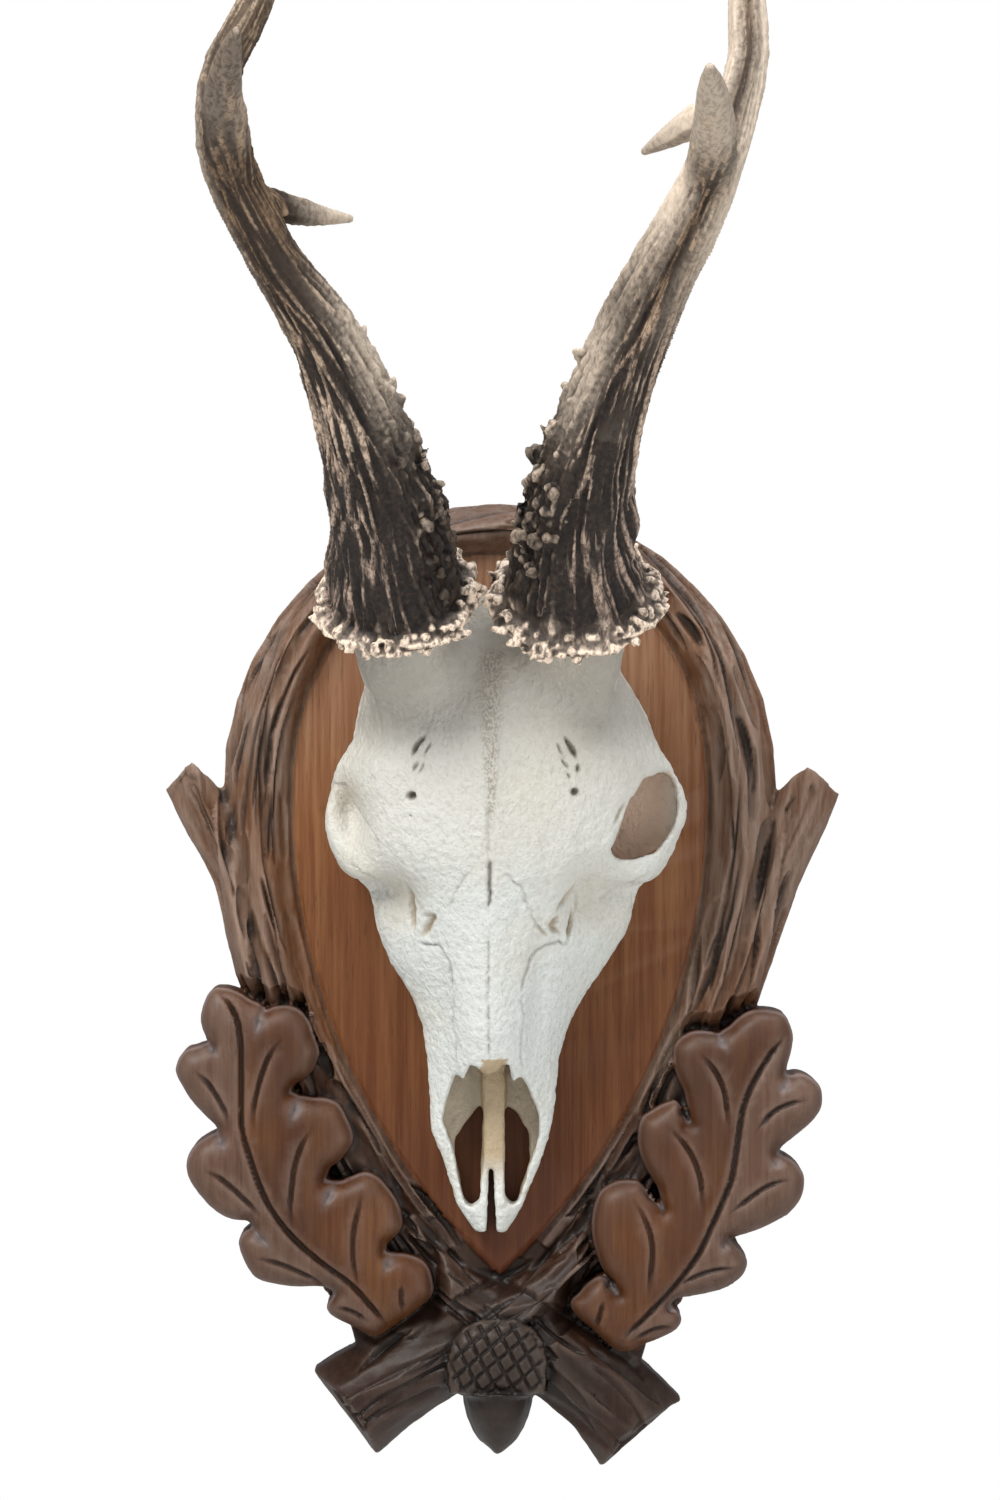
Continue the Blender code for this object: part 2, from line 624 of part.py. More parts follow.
def build_plaque(parts, operands, material):
    carving = bpy.data.collections.new("plaque_carving")
    operands.children.link(carving)
    cuts = bpy.data.collections.new("plaque_cuts")
    operands.children.link(cuts)
    plaque = build_ground("plaque", parts)
    build_panel(carving)
    build_wreath(carving)
    build_branch("stub_left", carving, STUB_LEFT, STUB_CROWN, 0.9, peak=STUB_END_PEAK)
    build_branch("stub_right", carving, STUB_RIGHT, STUB_CROWN, 2.1, peak=STUB_END_PEAK)
    build_branch("log_back", carving, LOG_BACK, LOG_BACK_CROWN, 0.3, slope=LOG_END_SLOPE)
    build_branch("log_front", carving, LOG_FRONT, LOG_FRONT_CROWN, 1.7, slope=LOG_END_SLOPE)
    build_leaf("leaf_left", carving, LEAF_LEFT)
    build_leaf("leaf_right", carving, LEAF_RIGHT)
    build_acorn(carving)
    reach = WALL_CUTTER_REACH
    corners = ((-reach, -reach), (reach, -reach), (reach, reach), (-reach, reach))
    make_cutter("wall_side", cuts, *loft([[at(x, z, depth) for x, z in corners] for depth in (-reach, 0.0)]))
    entry_radius = KEYHOLE_ENTRY_DIAMETER / 2.0
    pocket_radius = entry_radius + KEYHOLE_UNDERCUT
    mouth = keyhole_outline(entry_radius, KEYHOLE_SLOT_WIDTH / 2.0)
    pocket = keyhole_outline(pocket_radius, pocket_radius)
    for name, outline, low, high in (
        ("keyhole_mouth", mouth, -CUTTER_OVERRUN, KEYHOLE_LIP + CUTTER_OVERLAP),
        ("keyhole_pocket", pocket, KEYHOLE_LIP, KEYHOLE_TOTAL_DEPTH),
    ):
        rings = [[at(x, z, depth) for x, z in outline] for depth in (low, high)]
        make_cutter(name, cuts, *loft(rings))
    union(plaque, carving)
    cut(plaque, cuts)
    plaque.data.materials.append(material)
    return plaque


def hollow_cutter(name, collection, hollow, back):
    """A rounded cutter for a hollow in the skull, turned in the wall plane."""
    x, z, height = hollow["centre"]
    wide, tall, deep = hollow["radii"]
    shape = bmesh.new()
    bmesh.ops.create_uvsphere(shape, u_segments=14, v_segments=9, radius=1.0)
    size = Matrix.Diagonal((wide * MM, deep * MM, tall * MM, 1.0))
    spin = Matrix.Rotation(math.radians(hollow["turn"]), 4, "Y")
    place = Matrix.Translation(at(x, z, back + height))
    bmesh.ops.transform(shape, matrix=place @ spin @ size, verts=shape.verts)
    mesh = bpy.data.meshes.new(name)
    shape.to_mesh(mesh)
    shape.free()
    item = bpy.data.objects.new(name, mesh)
    collection.objects.link(item)
    item.hide_render = True
    item.display_type = "WIRE"
    return item


def skull_ring(station, back):
    """One level of the skull: a rounded front over the sawn back."""
    level, left, right, crown, edge, fullness = station
    z = mix(SKULL_TIP_Z, SKULL_TOP_Z, level)
    ring = []
    for column in range(SKULL_COLUMNS):
        across = math.sin(math.pi * (column / (SKULL_COLUMNS - 1) - 0.5))
        x = SKULL_MIDLINE_X + across * (right if across > 0.0 else left)
        ring.append(at(x, z, back + edge + (crown - edge) * (1.0 - abs(across) ** fullness)))
    ring.append(at(SKULL_MIDLINE_X + right * 0.94, z, back))
    ring.append(at(SKULL_MIDLINE_X - left * 0.94, z, back))
    return ring


def build_pedicle(name, collection, antler, back):
    """The bone column under an antler, ending on a plane below its burr."""
    base = at(*antler["beam"][0][0])
    along = (at(*antler["beam"][1][0]) - base).normalized()
    rings = []
    for down, radius in PEDICLE_SHAPE:
        centre = base - along * (down * PEDICLE_LENGTH + FIT_GAP) * MM
        rings.append(round_ring(centre, along, PEDICLE_RADIUS * radius, PEDICLE_SIDES))
    for point in rings[0]:
        point.y = min(point.y, -(back + PEDICLE_INSET) * MM)
    make_cutter(name, collection, *loft(rings))


def round_ring(centre, along, radius, sides, swell=None):
    """A ring square to a direction; swell gives each side its own share of the radius."""
    across = along.cross(Vector((0.0, -1.0, 0.3))).normalized()
    up = across.cross(along).normalized()
    ring = []
    for side in range(sides):
        angle = 2.0 * math.pi * side / sides
        reach = radius * (swell(side) if swell else 1.0) * MM
        ring.append(centre + (across * math.cos(angle) + up * math.sin(angle)) * reach)
    return ring


def build_skull(parts, operands, material):
    bone = bpy.data.collections.new("skull_bone")
    operands.children.link(bone)
    cuts = bpy.data.collections.new("skull_cuts")
    operands.children.link(cuts)
    back = PANEL_DEPTH + FIT_GAP
    rings = [skull_ring(station, back) for station in SKULL_STATIONS]
    skull = make_object("skull", parts, *loft(rings))
    build_pedicle("pedicle_left", bone, ANTLER_LEFT, back)
    build_pedicle("pedicle_right", bone, ANTLER_RIGHT, back)
    hollow_cutter("orbit_left", cuts, ORBIT_LEFT, back)
    hollow_cutter("slit_left", cuts, SLIT_LEFT, back)
    hollow_cutter("slit_right", cuts, SLIT_RIGHT, back)
    for name, outline, floor in (
        ("orbit_right", ORBIT_RIGHT, ORBIT_RIGHT_FLOOR), ("nares_left", NARES_LEFT, NARES_FLOOR),
        ("nares_right", NARES_RIGHT, NARES_FLOOR), ("septum_open", SEPTUM_OPEN, SEPTUM_TOP),
        ("prong_slit", PRONG_SLIT, -CUTTER_OVERRUN), ("fissure_left", FISSURE_LEFT, -CUTTER_OVERRUN),
        ("fissure_right", FISSURE_RIGHT, -CUTTER_OVERRUN),
    ):
        rings = [[at(x, z, back + height) for x, z in outline] for height in (floor, NARES_REACH)]
        make_cutter(name, cuts, *loft(rings))
    union(skull, bone)
    cut(skull, cuts)
    skull.data.materials.append(material)
    return skull


def beam_swell(station, side, lump):
    """Long ridges round the beam, with lumps on its inner side low down."""
    ridge = BEAM_RIDGE * math.sin(side * 2.3 + station * 0.35)
    bump = lump * max(0.0, math.sin(side * 1.9 + station * 2.6)) ** 2
    return ridge + bump


def tube_rings(run, sides, stations, lumps):
    line = curve_through([(*point, radius) for point, radius in run], stations)
    rings = []
    for station, value in enumerate(line):
        ahead = line[min(station + 1, stations - 1)]
        behind = line[max(station - 1, 0)]
        along = (at(*ahead[:3]) - at(*behind[:3])).normalized()
        radius = max(value[3], 0.6)
        lump = lumps(station / (stations - 1))

        def swell(side, station=station, radius=radius, lump=lump):
            return 1.0 + beam_swell(station, side, lump) * min(radius / 8.0, 1.0) / radius

        rings.append(round_ring(at(*value[:3]), along, radius, sides, swell))
    return rings


def build_antler(name, parts, operands, material, antler):
    """Burr and beam as one loft, with two tines let into it."""
    tines = bpy.data.collections.new(name + "_tines")
    operands.children.link(tines)
    base = at(*antler["beam"][0][0])
    along = (at(*antler["beam"][1][0]) - base).normalized()
    rings = []
    for step, share, bump in BURR_SHAPE:
        radius = antler["burr_radius"] * share

        def swell(side, bump=bump, radius=radius):
            return 1.0 + BURR_BUMP * bump * (1.0 if side % 2 else -1.0) / radius

        rings.append(round_ring(base + along * step * MM, along, radius, ANTLER_SIDES, swell))

    def lumps(share):
        return BEAM_LUMP * (1.0 - smooth((share - 0.15) / 0.2))

    rings += tube_rings(antler["beam"], ANTLER_SIDES, BEAM_STATIONS, lumps)[2:]
    item = make_object(name, parts, *loft(rings))
    for part in ("front_tine", "rear_tine"):
        rings = tube_rings(antler[part], TINE_SIDES, TINE_STATIONS, lambda share: 0.0)
        make_cutter(name + "_" + part, tines, *loft(rings))
    union(item, tines)
    item.data.materials.append(material)
    return item


def main():
    clear_scene()
    parts = new_collection("antler_mounting_plaque")
    operands = new_collection("operands")
    wood = make_material("dark_stained_wood", (0.165, 0.078, 0.042), 0.42)
    bone = make_material("bleached_bone", (0.70, 0.68, 0.62), 0.62)
    antler = make_material("antler", (0.13, 0.085, 0.06), 0.66)
    build_plaque(parts, operands, wood)
    build_skull(parts, operands, bone)
    build_antler("antler_left", parts, operands, antler, ANTLER_LEFT)
    build_antler("antler_right", parts, operands, antler, ANTLER_RIGHT)
    bpy.context.view_layer.update()


main()
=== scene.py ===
# %% [markdown]
# # A roe trophy on a carved plaque
# The object is a dark stained wooden plaque, carved in relief from one board, with the bleached skull and
# the two antlers of a roe deer fixed to it. The solids of the part are loaded as a frame that never
# changes. Each one is then replaced by a finely meshed piece that starts as a copy of it, so that the
# place and the large forms stay true, and only the carver's cuts, the bone's pores and the antler's
# pearls are added here.

# %% Load the frame
import math
import bpy
import numpy as np
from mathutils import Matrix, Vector, kdtree


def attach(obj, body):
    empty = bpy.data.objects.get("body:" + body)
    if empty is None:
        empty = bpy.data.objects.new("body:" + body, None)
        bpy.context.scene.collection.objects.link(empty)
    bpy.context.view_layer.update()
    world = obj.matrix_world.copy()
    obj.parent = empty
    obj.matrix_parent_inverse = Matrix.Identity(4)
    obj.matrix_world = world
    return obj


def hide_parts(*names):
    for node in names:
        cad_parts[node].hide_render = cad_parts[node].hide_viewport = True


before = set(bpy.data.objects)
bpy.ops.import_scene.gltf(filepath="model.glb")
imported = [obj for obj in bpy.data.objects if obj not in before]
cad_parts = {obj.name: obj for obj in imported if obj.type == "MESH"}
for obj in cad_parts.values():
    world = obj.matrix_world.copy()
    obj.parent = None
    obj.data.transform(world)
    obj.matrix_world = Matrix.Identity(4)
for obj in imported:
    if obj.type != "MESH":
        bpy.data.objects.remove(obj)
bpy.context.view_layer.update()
MM = 0.001

# %% [markdown]
# ## The camera
# The photograph looks straight at the plaque. Its camera stands 1.56 m in front of the panel, level with
# a point a little above the skull's nose. With the camera known, any pixel of the photograph is a ray,
# and a depth out from the wall picks the point on it. The helper below does that, so that cuts and
# sutures can be placed where the photograph shows them, in millimetres.

# %% Camera and photograph helper
PHOTO_WIDTH = 1000
PHOTO_HEIGHT = 1500
LENS = 150.0
SENSOR = 36.0
EYE_HEIGHT = 58.75
EYE_DISTANCE = 1582.5
REFERENCE_DEPTH = 20.0
VIEW_HEIGHT = (EYE_DISTANCE - REFERENCE_DEPTH) * SENSOR / LENS

camera_data = bpy.data.cameras.new("photo_camera")
camera_data.lens = LENS
camera_data.sensor_width = SENSOR
camera_data.clip_end = 20.0
camera = bpy.data.objects.new("photo_camera", camera_data)
camera.location = (0.0, -EYE_DISTANCE * MM, EYE_HEIGHT * MM)
camera.rotation_euler = (math.pi / 2.0, 0.0, 0.0)
bpy.context.scene.collection.objects.link(camera)
bpy.context.scene.camera = camera


def from_photo(pixels, depth):
    """Points (x, z) in millimetres where the photograph's pixels lie at a depth out from the wall."""
    scale = VIEW_HEIGHT / PHOTO_HEIGHT * (EYE_DISTANCE - depth) / (EYE_DISTANCE - REFERENCE_DEPTH)
    return [((x - PHOTO_WIDTH / 2) * scale, EYE_HEIGHT + (PHOTO_HEIGHT / 2 - y) * scale) for x, y in pixels]


print("view height", round(VIEW_HEIGHT, 1), "mm, nose tip at", from_photo([(490, 1236)], 28.0))

# %% [markdown]
# ## A fine copy of a solid
# A carver's board or a skull has no flat facets, but the solids do. A copy is merged, then the Remesh
# modifier lays an even skin of small squares over it. That skin is relaxed: each point moves towards the
# middle of its neighbours and then a little back again, which melts the facets and keeps thin parts from
# shrinking away.

# %% Copy, remesh and relax
def select_only(piece):
    bpy.ops.object.select_all(action="DESELECT")
    piece.select_set(True)
    bpy.context.view_layer.objects.active = piece


def node_copy(node, name):
    """An object of its own with the merged mesh of a CAD node."""
    piece = bpy.data.objects.new(name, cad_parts[node].data.copy())
    bpy.context.scene.collection.objects.link(piece)
    select_only(piece)
    bpy.ops.object.mode_set(mode="EDIT")
    bpy.ops.mesh.select_all(action="SELECT")
    bpy.ops.mesh.remove_doubles(threshold=0.00001)
    bpy.ops.object.mode_set(mode="OBJECT")
    return piece


def even_skin(piece, voxel, extras=()):
    """Lays an even skin over the piece and over the extra bodies that melt into it."""
    select_only(piece)
    if extras:
        for extra in extras:
            extra.select_set(True)
        bpy.ops.object.join()
    remesh = piece.modifiers.new("even skin", "REMESH")
    remesh.mode = "VOXEL"
    remesh.voxel_size = voxel * MM
    bpy.ops.object.modifier_apply(modifier=remesh.name)
    print(piece.name, "has", len(piece.data.vertices), "points after the remesh")


class Skin:
    """A mesh as arrays, in millimetres: points, edges and normals."""

    def __init__(self, piece):
        self.mesh = piece.data
        count = len(self.mesh.vertices)
        flat = np.empty(count * 3)
        self.mesh.vertices.foreach_get("co", flat)
        self.points = flat.reshape(-1, 3) / MM
        ends = np.empty(len(self.mesh.edges) * 2, dtype=np.int64)
        self.mesh.edges.foreach_get("vertices", ends)
        self.edges = ends.reshape(-1, 2)
        self.links = np.maximum(np.bincount(self.edges.ravel(), minlength=count), 1)[:, None]
        self.refresh()

    def refresh(self):
        """Writes the points to the mesh and reads its normals."""
        self.mesh.vertices.foreach_set("co", (self.points * MM).ravel())
        self.mesh.update()
        flat = np.empty(len(self.points) * 3)
        self.mesh.vertex_normals.foreach_get("vector", flat)
        self.normals = flat.reshape(-1, 3)

    def places(self):
        """Across, up and out from the wall."""
        return self.points[:, 0].copy(), self.points[:, 2].copy(), -self.points[:, 1]

    def mean(self, values):
        """The mean of each point's neighbours."""
        first, second = self.edges.T
        count = len(self.points)
        total = [np.bincount(first, column[second], count) + np.bincount(second, column[first], count)
                 for column in values.T]
        return np.stack(total, 1) / self.links

    def relax(self, rounds, weight=1.0):
        """Melts facets but keeps the volume."""
        for _ in range(rounds):
            self.points += weight * 0.5 * (self.mean(self.points) - self.points)
            self.points -= weight * 0.52 * (self.mean(self.points) - self.points)
        self.refresh()

    def melt(self, rounds, weight):
        """Rounds creases over, as wax would, at the points with a weight."""
        near = self.edges[(weight[self.edges] > 0.0).any(1)]
        chosen, local = np.unique(near, return_inverse=True)
        first, second = local.reshape(-1, 2).T
        count = len(chosen)
        points = self.points[chosen]
        links = np.maximum(np.bincount(first, minlength=count) + np.bincount(second, minlength=count), 1)
        strength = 0.6 * weight[chosen]
        for _ in range(rounds):
            for axis in range(3):
                column = points[:, axis]
                total = np.bincount(first, column[second], count) + np.bincount(second, column[first], count)
                points[:, axis] = column + strength * (total / links - column)
        self.points[chosen] = points
        self.refresh()

    def push(self, amount):
        """Moves each point out along its normal by its own amount in millimetres."""
        self.points += self.normals * amount[:, None]
        self.refresh()

    def store(self, name, values):
        layer = self.mesh.attributes.new(name, "FLOAT", "POINT")
        layer.data.foreach_set("value", np.clip(values, 0.0, 1.0).astype(np.float32))


# %% [markdown]
# ## Tools of the carver, in numbers
# Three small tools do all the carving. `stroke_depth` is one push of a gouge, a long boat-shaped hollow
# with one steep wall. `line_depth` is a V-tool run along a line, for veins and seams. `value_noise` is a
# smooth random field for the small irregularities that no hand or growth leaves out. All random choices
# come from seeded generators.

# %% Gouge, V-tool and noise
NOISE_PRIMES = np.array([73856093, 19349663, 83492791])


def value_noise(points, seed):
    """Smooth noise from -1 to 1 at points given in units of its own grain."""
    base = np.floor(points).astype(np.int64)
    share = points - base
    share = share * share * (3.0 - 2.0 * share)
    total = np.zeros(len(points))
    for corner in range(8):
        offset = np.array([(corner >> axis) & 1 for axis in range(3)])
        cell = base + offset
        mixed = (cell * NOISE_PRIMES).T
        mixed = mixed[0] ^ mixed[1] ^ mixed[2] ^ (seed * 2654435761)
        mixed = (mixed ^ (mixed >> 13)) * 1274126177
        value = ((mixed ^ (mixed >> 16)) & 0xFFFF) / 32767.5 - 1.0
        total += value * np.prod(np.where(offset, share, 1.0 - share), axis=1)
    return total


def line_distance(x, z, line):
    """Distance from each point to a line, how far along it the nearest place is, and the line's length."""
    best = np.full(len(x), 1e9)
    along = np.zeros(len(x))
    start = 0.0
    for (x0, z0), (x1, z1) in zip(line[:-1], line[1:]):
        length = max(math.hypot(x1 - x0, z1 - z0), 1e-9)
        share = np.clip(((x - x0) * (x1 - x0) + (z - z0) * (z1 - z0)) / length ** 2, 0.0, 1.0)
        distance = np.hypot(x - x0 - share * (x1 - x0), z - z0 - share * (z1 - z0))
        nearer = distance < best
        best[nearer] = distance[nearer]
        along[nearer] = start + share[nearer] * length
        start += length
    return best, along, start


def smooth_line(line, steps=5):
    """A rounded line through the given points."""
    knots = [np.array(point, float) for point in line]
    padded = [2 * knots[0] - knots[1]] + knots + [2 * knots[-1] - knots[-2]]
    result = []
    for index in range(len(knots) - 1):
        a, b, c, d = padded[index:index + 4]
        for step in range(steps):
            t = step / steps
            result.append(tuple(0.5 * (2 * b + (c - a) * t + (2 * a - 5 * b + 4 * c - d) * t * t
                                       + (3 * b - 3 * c + d - a) * t ** 3)))
    return result + [tuple(knots[-1])]


def line_depth(skin, line, width, depth, front, taper=0.25, wobble=0.0):
    """A V-tool cut along a line on the part of the skin that faces the room; it runs out at both ends."""
    cut = np.zeros(len(skin.points))
    x, z = skin.points[:, 0] + wobble, skin.points[:, 2] + wobble
    xs, zs = zip(*line)
    near = (front & (x > min(xs) - 2 * width) & (x < max(xs) + 2 * width)
            & (z > min(zs) - 2 * width) & (z < max(zs) + 2 * width))
    if not near.any():
        return cut
    distance, along, length = line_distance(x[near], z[near], line)
    ends = np.clip(np.minimum(along, length - along) / (taper * length), 0.12, 1.0)
    cut[near] = depth * ends * np.clip(1.0 - distance / (0.5 * width * (0.4 + 0.6 * ends)), 0.0, 1.0)
    return cut


def stroke_depth(along, across, start, middle, length, width, depth, slant, steep):
    """One push of a gouge on a branch; steep is the side (1 or -1) on which the tool stood upright."""
    a = (along - start) / (0.5 * length)
    room = np.clip(1.0 - a * a, 0.0, 1.0)
    b = steep * (across - middle - slant * (along - start)) / np.maximum(0.5 * width * np.sqrt(room), 1e-3)
    return depth * np.sqrt(room) * np.clip(np.minimum((1.0 - b) / 1.6, (1.0 + b) / 0.4), 0.0, 1.0)


def inside(x, z, line):
    """Whether each point lies inside a closed line."""
    result = np.zeros(len(x), bool)
    for (x0, z0), (x1, z1) in zip(line, line[1:] + line[:1]):
        crosses = (z0 > z) != (z1 > z)
        slope = (x1 - x0) / (z1 - z0 if z1 != z0 else 1e-9)
        result ^= crosses & (x < x0 + (z - z0) * slope)
    return result


# %% [markdown]
# ## The plaque
# A trophy plaque like this is carved from one board of lime or alder. The panel in the middle is left
# smooth for the skull. Around it a branch is bent to a wreath, its bark shown by long gouge cuts, and at
# the bottom two sawn logs cross under the panel's point, with an oak leaf to each side and an acorn
# between.

# %% Lines of the carving
PANEL_HALF_WIDTH = 52.5
PANEL_WIDEST = 46.3
PANEL_TOP = 108.3
PANEL_POINT = -73.8
EGG_FULLNESS = 2.2


def egg_line(margin):
    """The panel's outline, moved outwards by a margin, from its point up the right side and round."""
    half_width = PANEL_HALF_WIDTH + margin
    drop = PANEL_WIDEST - PANEL_POINT + 1.6 * margin
    radius = (half_width ** 2 + drop ** 2) / (2.0 * half_width)
    sweep = math.asin(drop / radius)
    angles = [sweep * (t - 1.0) for t in np.linspace(0.0, 1.0, 40)]
    middle = half_width - radius
    half = [(middle + radius * math.cos(a), PANEL_WIDEST + radius * math.sin(a)) for a in angles]
    rise = PANEL_TOP + margin - PANEL_WIDEST
    angles = np.linspace(0.0, math.pi / 2.0, 44)[1:-1]
    power = 2.0 / EGG_FULLNESS
    half += [(half_width * math.cos(a) ** power, PANEL_WIDEST + rise * math.sin(a) ** power) for a in angles]
    return half + [(0.0, PANEL_TOP + margin)] + [(-x, z) for x, z in reversed(half)]


egg = egg_line(0.0)
LOG_FRONT = [(-38.9, -107.6), (-27.8, -99.6), (-14.0, -92.0), (0.0, -84.6), (14.5, -74.5), (26.5, -60.0)]
LOG_BACK = [(35.6, -113.0), (26.4, -102.4), (13.0, -92.5), (0.0, -83.0), (-14.5, -74.0), (-26.5, -60.0)]
STUB_LEFT = [(-58.6, -9.0), (-63.4, 10.0), (-66.6, 26.0), (-71.4, 38.0), (-77.2, 49.2)]
STUB_RIGHT = [(56.6, -9.0), (63.6, 12.0), (67.8, 26.0), (72.2, 37.0), (77.0, 48.0)]
print("the panel's outline has", len(egg), "points")

# %% [markdown]
# ### Oak leaves
# The solids show the leaves with flat facets. Here each leaf is laid out again from its drawing in the
# photograph: the outline lobe by lobe, meeting in sharp notches, the midrib and a vein for each lobe. Its
# surface is a pillow that falls off towards the outline, so that every lobe swells by itself, as a carver
# rounds it. The faceted leaf below is sunk out of the way first.

# %% Leaf drawings, as photograph pixels
LEAF_DEPTH = 25.0
LEFT_LEAF = {
    "log": LOG_FRONT[:3],
    "log_crown": 27.0,
    "lobes": [
        [(215, 988), (229, 989), (241, 994), (250, 1000), (261, 1005), (266, 1010)],
        [(266, 1010), (274, 1007), (288, 1006), (300, 1011), (309, 1021), (314, 1035), (319, 1051),
         (317, 1061), (312, 1072), (304, 1079), (295, 1085), (291, 1092)],
        [(291, 1092), (302, 1096), (312, 1098), (326, 1099), (339, 1105), (346, 1117), (351, 1129),
         (353, 1140), (349, 1150), (340, 1161), (330, 1169), (326, 1180)],
        [(326, 1180), (340, 1182), (352, 1177), (365, 1173), (378, 1178), (389, 1190), (398, 1204),
         (402, 1218), (402, 1228), (397, 1236), (388, 1243), (386, 1252)],
        [(386, 1252), (394, 1254), (406, 1255), (420, 1260), (428, 1268), (432, 1280), (433, 1294),
         (425, 1304), (411, 1315), (397, 1325), (378, 1338), (366, 1336)],
        [(366, 1336), (354, 1328), (340, 1322), (330, 1316), (326, 1309), (328, 1303), (332, 1297),
         (333, 1293)],
        [(333, 1293), (321, 1288), (295, 1288), (274, 1285), (257, 1280), (247, 1269), (241, 1256),
         (238, 1244), (241, 1235), (251, 1227)],
        [(251, 1227), (246, 1222), (229, 1220), (212, 1210), (198, 1195), (190, 1183), (186, 1171),
         (187, 1158), (194, 1146), (205, 1138), (216, 1132)],
        [(216, 1132), (215, 1127), (205, 1117), (191, 1102), (181, 1086), (175, 1073), (177, 1061),
         (184, 1051), (196, 1047), (207, 1043)],
        [(207, 1043), (205, 1037), (201, 1027), (200, 1015), (204, 1001), (209, 992), (215, 988)],
    ],
    "midrib": [
        (215, 993), (225, 1004), (233, 1020), (236, 1041), (237, 1074), (237, 1107), (238, 1131),
        (246, 1159), (257, 1190), (271, 1216), (293, 1242), (321, 1266), (349, 1287), (368, 1308),
        (384, 1327),
    ],
    "veins": [
        [(283, 1038), (271, 1053), (262, 1074), (256, 1096), (253, 1114), (254, 1131)],
        [(313, 1127), (302, 1145), (295, 1166), (292, 1188), (290, 1207), (292, 1225)],
        [(363, 1192), (358, 1211), (354, 1230), (353, 1249), (354, 1268), (359, 1291)],
        [(402, 1284), (401, 1296), (404, 1313)],
        [(195, 1071), (208, 1083), (218, 1098), (225, 1112), (228, 1125)],
        [(204, 1170), (220, 1178), (236, 1191), (250, 1205), (261, 1218)],
        [(255, 1258), (274, 1262), (297, 1271), (326, 1287)], [(335, 1307), (352, 1312), (368, 1322)],
    ],
    "notches": [
        [(262, 1006), (258, 1022), (254, 1038)], [(300, 1093), (295, 1110), (290, 1125)],
        [(335, 1181), (329, 1195), (322, 1209)], [(394, 1253), (388, 1263), (384, 1273)],
        [(216, 1132), (225, 1152)], [(251, 1227), (271, 1249)], [(207, 1044), (216, 1054)],
    ],
}
RIGHT_LEAF = {
    "log": LOG_BACK[:3],
    "log_crown": 23.5,
    "lobes": [
        [(719, 1033), (730, 1026), (739, 1018), (749, 1012), (761, 1010), (775, 1011), (785, 1015),
         (791, 1025), (794, 1038), (792, 1052), (788, 1066), (787, 1074)],
        [(787, 1074), (790, 1075), (801, 1074), (812, 1078), (821, 1087), (823, 1099), (821, 1111),
         (811, 1124), (796, 1137), (783, 1147), (779, 1153)],
        [(779, 1153), (792, 1160), (801, 1169), (805, 1179), (803, 1196), (794, 1210), (779, 1221),
         (761, 1230), (742, 1236), (730, 1240)],
        [(730, 1240), (737, 1247), (744, 1254), (748, 1263), (745, 1274), (737, 1282), (723, 1290),
         (704, 1295), (687, 1298), (676, 1301), (671, 1306)],
        [(671, 1306), (679, 1313), (682, 1320), (679, 1328), (670, 1335), (654, 1342), (640, 1347),
         (630, 1353), (617, 1352), (602, 1340), (591, 1329), (578, 1319), (571, 1309), (571, 1300),
         (578, 1294), (588, 1283), (604, 1277), (617, 1293)],
        [(617, 1293), (611, 1281), (602, 1269), (595, 1250), (592, 1231), (593, 1212), (598, 1196),
         (605, 1188), (617, 1182), (633, 1181), (643, 1185), (662, 1208)],
        [(662, 1208), (658, 1189), (647, 1170), (640, 1153), (638, 1137), (641, 1120), (650, 1112),
         (664, 1104), (676, 1101), (682, 1106), (689, 1122)],
        [(689, 1122), (685, 1094), (678, 1078), (674, 1064), (674, 1048), (680, 1039), (689, 1033),
         (702, 1031), (719, 1033)],
    ],
    "midrib": [
        (781, 1037), (765, 1057), (753, 1076), (744, 1094), (738, 1113), (735, 1132), (732, 1153),
        (728, 1177), (719, 1201), (709, 1224), (697, 1250), (683, 1271), (664, 1295), (643, 1316),
        (619, 1340),
    ],
    "veins": [
        [(700, 1053), (713, 1068), (723, 1087), (727, 1106), (729, 1130)],
        [(669, 1127), (683, 1142), (694, 1160), (701, 1182), (703, 1212)],
        [(634, 1201), (644, 1217), (651, 1238), (652, 1260), (648, 1300)],
        [(604, 1300), (600, 1314), (595, 1329)], [(808, 1100), (789, 1104), (772, 1113), (756, 1132)],
        [(791, 1179), (770, 1185), (751, 1197), (730, 1214)],
        [(735, 1268), (716, 1270), (697, 1276), (678, 1287)], [(673, 1327), (654, 1330), (633, 1341)],
    ],
    "notches": [
        [(717, 1033), (728, 1050)], [(679, 1103), (689, 1123)], [(641, 1184), (662, 1209)],
        [(605, 1277), (615, 1294)], [(792, 1077), (778, 1096)], [(785, 1158), (770, 1168)],
        [(730, 1241), (721, 1251)], [(673, 1307), (669, 1314)],
    ],
}


def leaf_outline(leaf):
    return [point for lobe in leaf["lobes"] for point in smooth_line(from_photo(lobe, LEAF_DEPTH))[:-1]]


# %% Leaf bodies
LEAF_EDGE = 21.5
LEAF_SWELL = 5.0
LEAF_ROUNDING = 1.7
VALLEY_DEPTH = 1.2
VALLEY_WIDTH = 4.5
DIP_HEIGHT = 19.5
DIP_SLOPE = 1.6
UNDER_LOG = 12.0
GROUND_HEIGHT = 16.4
GROUND_MARGIN = 13.0
GROUND_TOP = -6.0
GRID_STEP = 0.45
CLEAR_OF_LOG = 8.0
SUNK_HEIGHT = 10.5
SINK_REACH = 4.0
LOG_ROUNDNESS = 0.055


